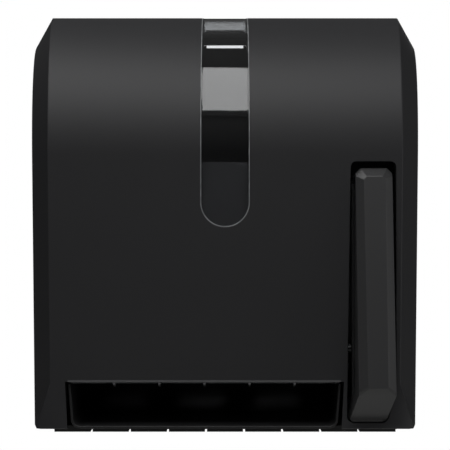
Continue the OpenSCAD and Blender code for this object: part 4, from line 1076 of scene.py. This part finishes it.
# %% World
STUDIO_LOW, STUDIO_HIGH = 0.1, 0.7
STUDIO_DIM, STUDIO_BRIGHT = 0.005, 0.1
WHITE = (1, 1, 1, 1)
world = bpy.data.worlds.new("studio")
bpy.context.scene.world = world
world.use_nodes = True
world.node_tree.nodes.clear()
paths = add(world, "ShaderNodeLightPath")
bounces = add(
    world, "ShaderNodeMath",
    [(0, paths.outputs["Diffuse Depth"]), (1, paths.outputs["Glossy Depth"])], operation="ADD",
)
# A ray that has bounced off nothing yet may still have come through the window
straight = add(world, "ShaderNodeMath", [(0, bounces.outputs[0])], operation="LESS_THAN")
straight.inputs[1].default_value = 0.5
through_clear = add(
    world, "ShaderNodeMath",
    [(0, paths.outputs["Is Transmission Ray"]), (1, straight.outputs[0])], operation="MULTIPLY",
)
seen = add(
    world, "ShaderNodeMath",
    [(0, paths.outputs["Is Camera Ray"]), (1, through_clear.outputs[0])], operation="MAXIMUM",
)
direction = add(world, "ShaderNodeTexCoord")
parts = add(world, "ShaderNodeSeparateXYZ", [(0, direction.outputs["Generated"])])
height = add(
    world, "ShaderNodeMapRange", [("Value", parts.outputs["Z"])],
    From_Min=STUDIO_LOW, From_Max=STUDIO_HIGH, To_Min=STUDIO_DIM, To_Max=STUDIO_BRIGHT,
)
studio = add(world, "ShaderNodeBackground", [("Strength", height.outputs["Result"])], Color=WHITE)
white = add(world, "ShaderNodeBackground", Color=WHITE, Strength=1.0)
both = add(
    world, "ShaderNodeMixShader", [(0, seen.outputs[0]), (1, studio.outputs[0]), (2, white.outputs[0])]
)
add(world, "ShaderNodeOutputWorld", [("Surface", both.outputs[0])])
print("world of", len(world.node_tree.nodes), "nodes")

# %% Floor
FLOOR_DROP = 0.45
FLOOR_SIZE = 4
FLOOR_LIFT = 0.65
bpy.ops.object.select_all(action="DESELECT")
bpy.ops.mesh.primitive_plane_add(size=FLOOR_SIZE, location=(0, 0, BASE_Z - FLOOR_DROP))
floor = bpy.context.object
floor.name = "floor"
# Matt paint: it takes a soft shadow and shows no gloss
pale, pale_shader = new_material("pale floor", "#e4e4e2", Roughness=0.9, Emission_Color=WHITE)
floor_paths = add(pale, "ShaderNodeLightPath")
lift = add(pale, "ShaderNodeMath", [(0, floor_paths.outputs["Is Camera Ray"])], operation="MULTIPLY")
lift.inputs[1].default_value = FLOOR_LIFT
plug(pale, lift.outputs[0], pale_shader.inputs["Emission Strength"])
floor.data.materials.append(pale)
print("floor at", round(BASE_Z - FLOOR_DROP, 3))

# %% [markdown]
# ## Light
# Black plastic is lit by what it mirrors. One wide softbox above the camera lays a band of light over the
# curve and a bright patch in the window. A small one at the upper left picks out the paddle's facets, and
# an upright one at the right draws the edges there. The last stands behind, where the front never sees it,
# so that the wall plate can be made out from the back. Point lamps would give hard sparks instead of bands.


# %% Lights
def softbox(name, place, target, width, height, power):
    """A rectangular lamp that looks at a target."""
    lamp = bpy.data.lights.new(name, "AREA")
    lamp.shape = "RECTANGLE"
    lamp.size = width
    lamp.size_y = height
    lamp.energy = power
    holder = bpy.data.objects.new(name, lamp)
    holder.location = place
    holder.rotation_euler = (Vector(target) - Vector(place)).to_track_quat("-Z", "Y").to_euler()
    bpy.context.scene.collection.objects.link(holder)
    print(name, "lamp of", power, "W")


arc = Vector((0, FRONT_Y + 30 * MM, up(300)))
softbox("overhead", place=arc + Vector((-0.1, -0.75, 1.15)), target=arc, width=1.5, height=1.0, power=13)
softbox(
    "upper_left", place=(-0.555, -0.28, 0.885), target=(0.125, -0.233, 0.03),
    width=0.34, height=0.34, power=1.3,
)
softbox("right", place=(1.24, -0.55, 0.15), target=(0.13, -0.25, -0.1), width=0.35, height=0.8, power=2)
softbox("behind", place=(0.35, 1.25, 0.1), target=(0, 0, -0.03), width=0.6, height=0.6, power=3)
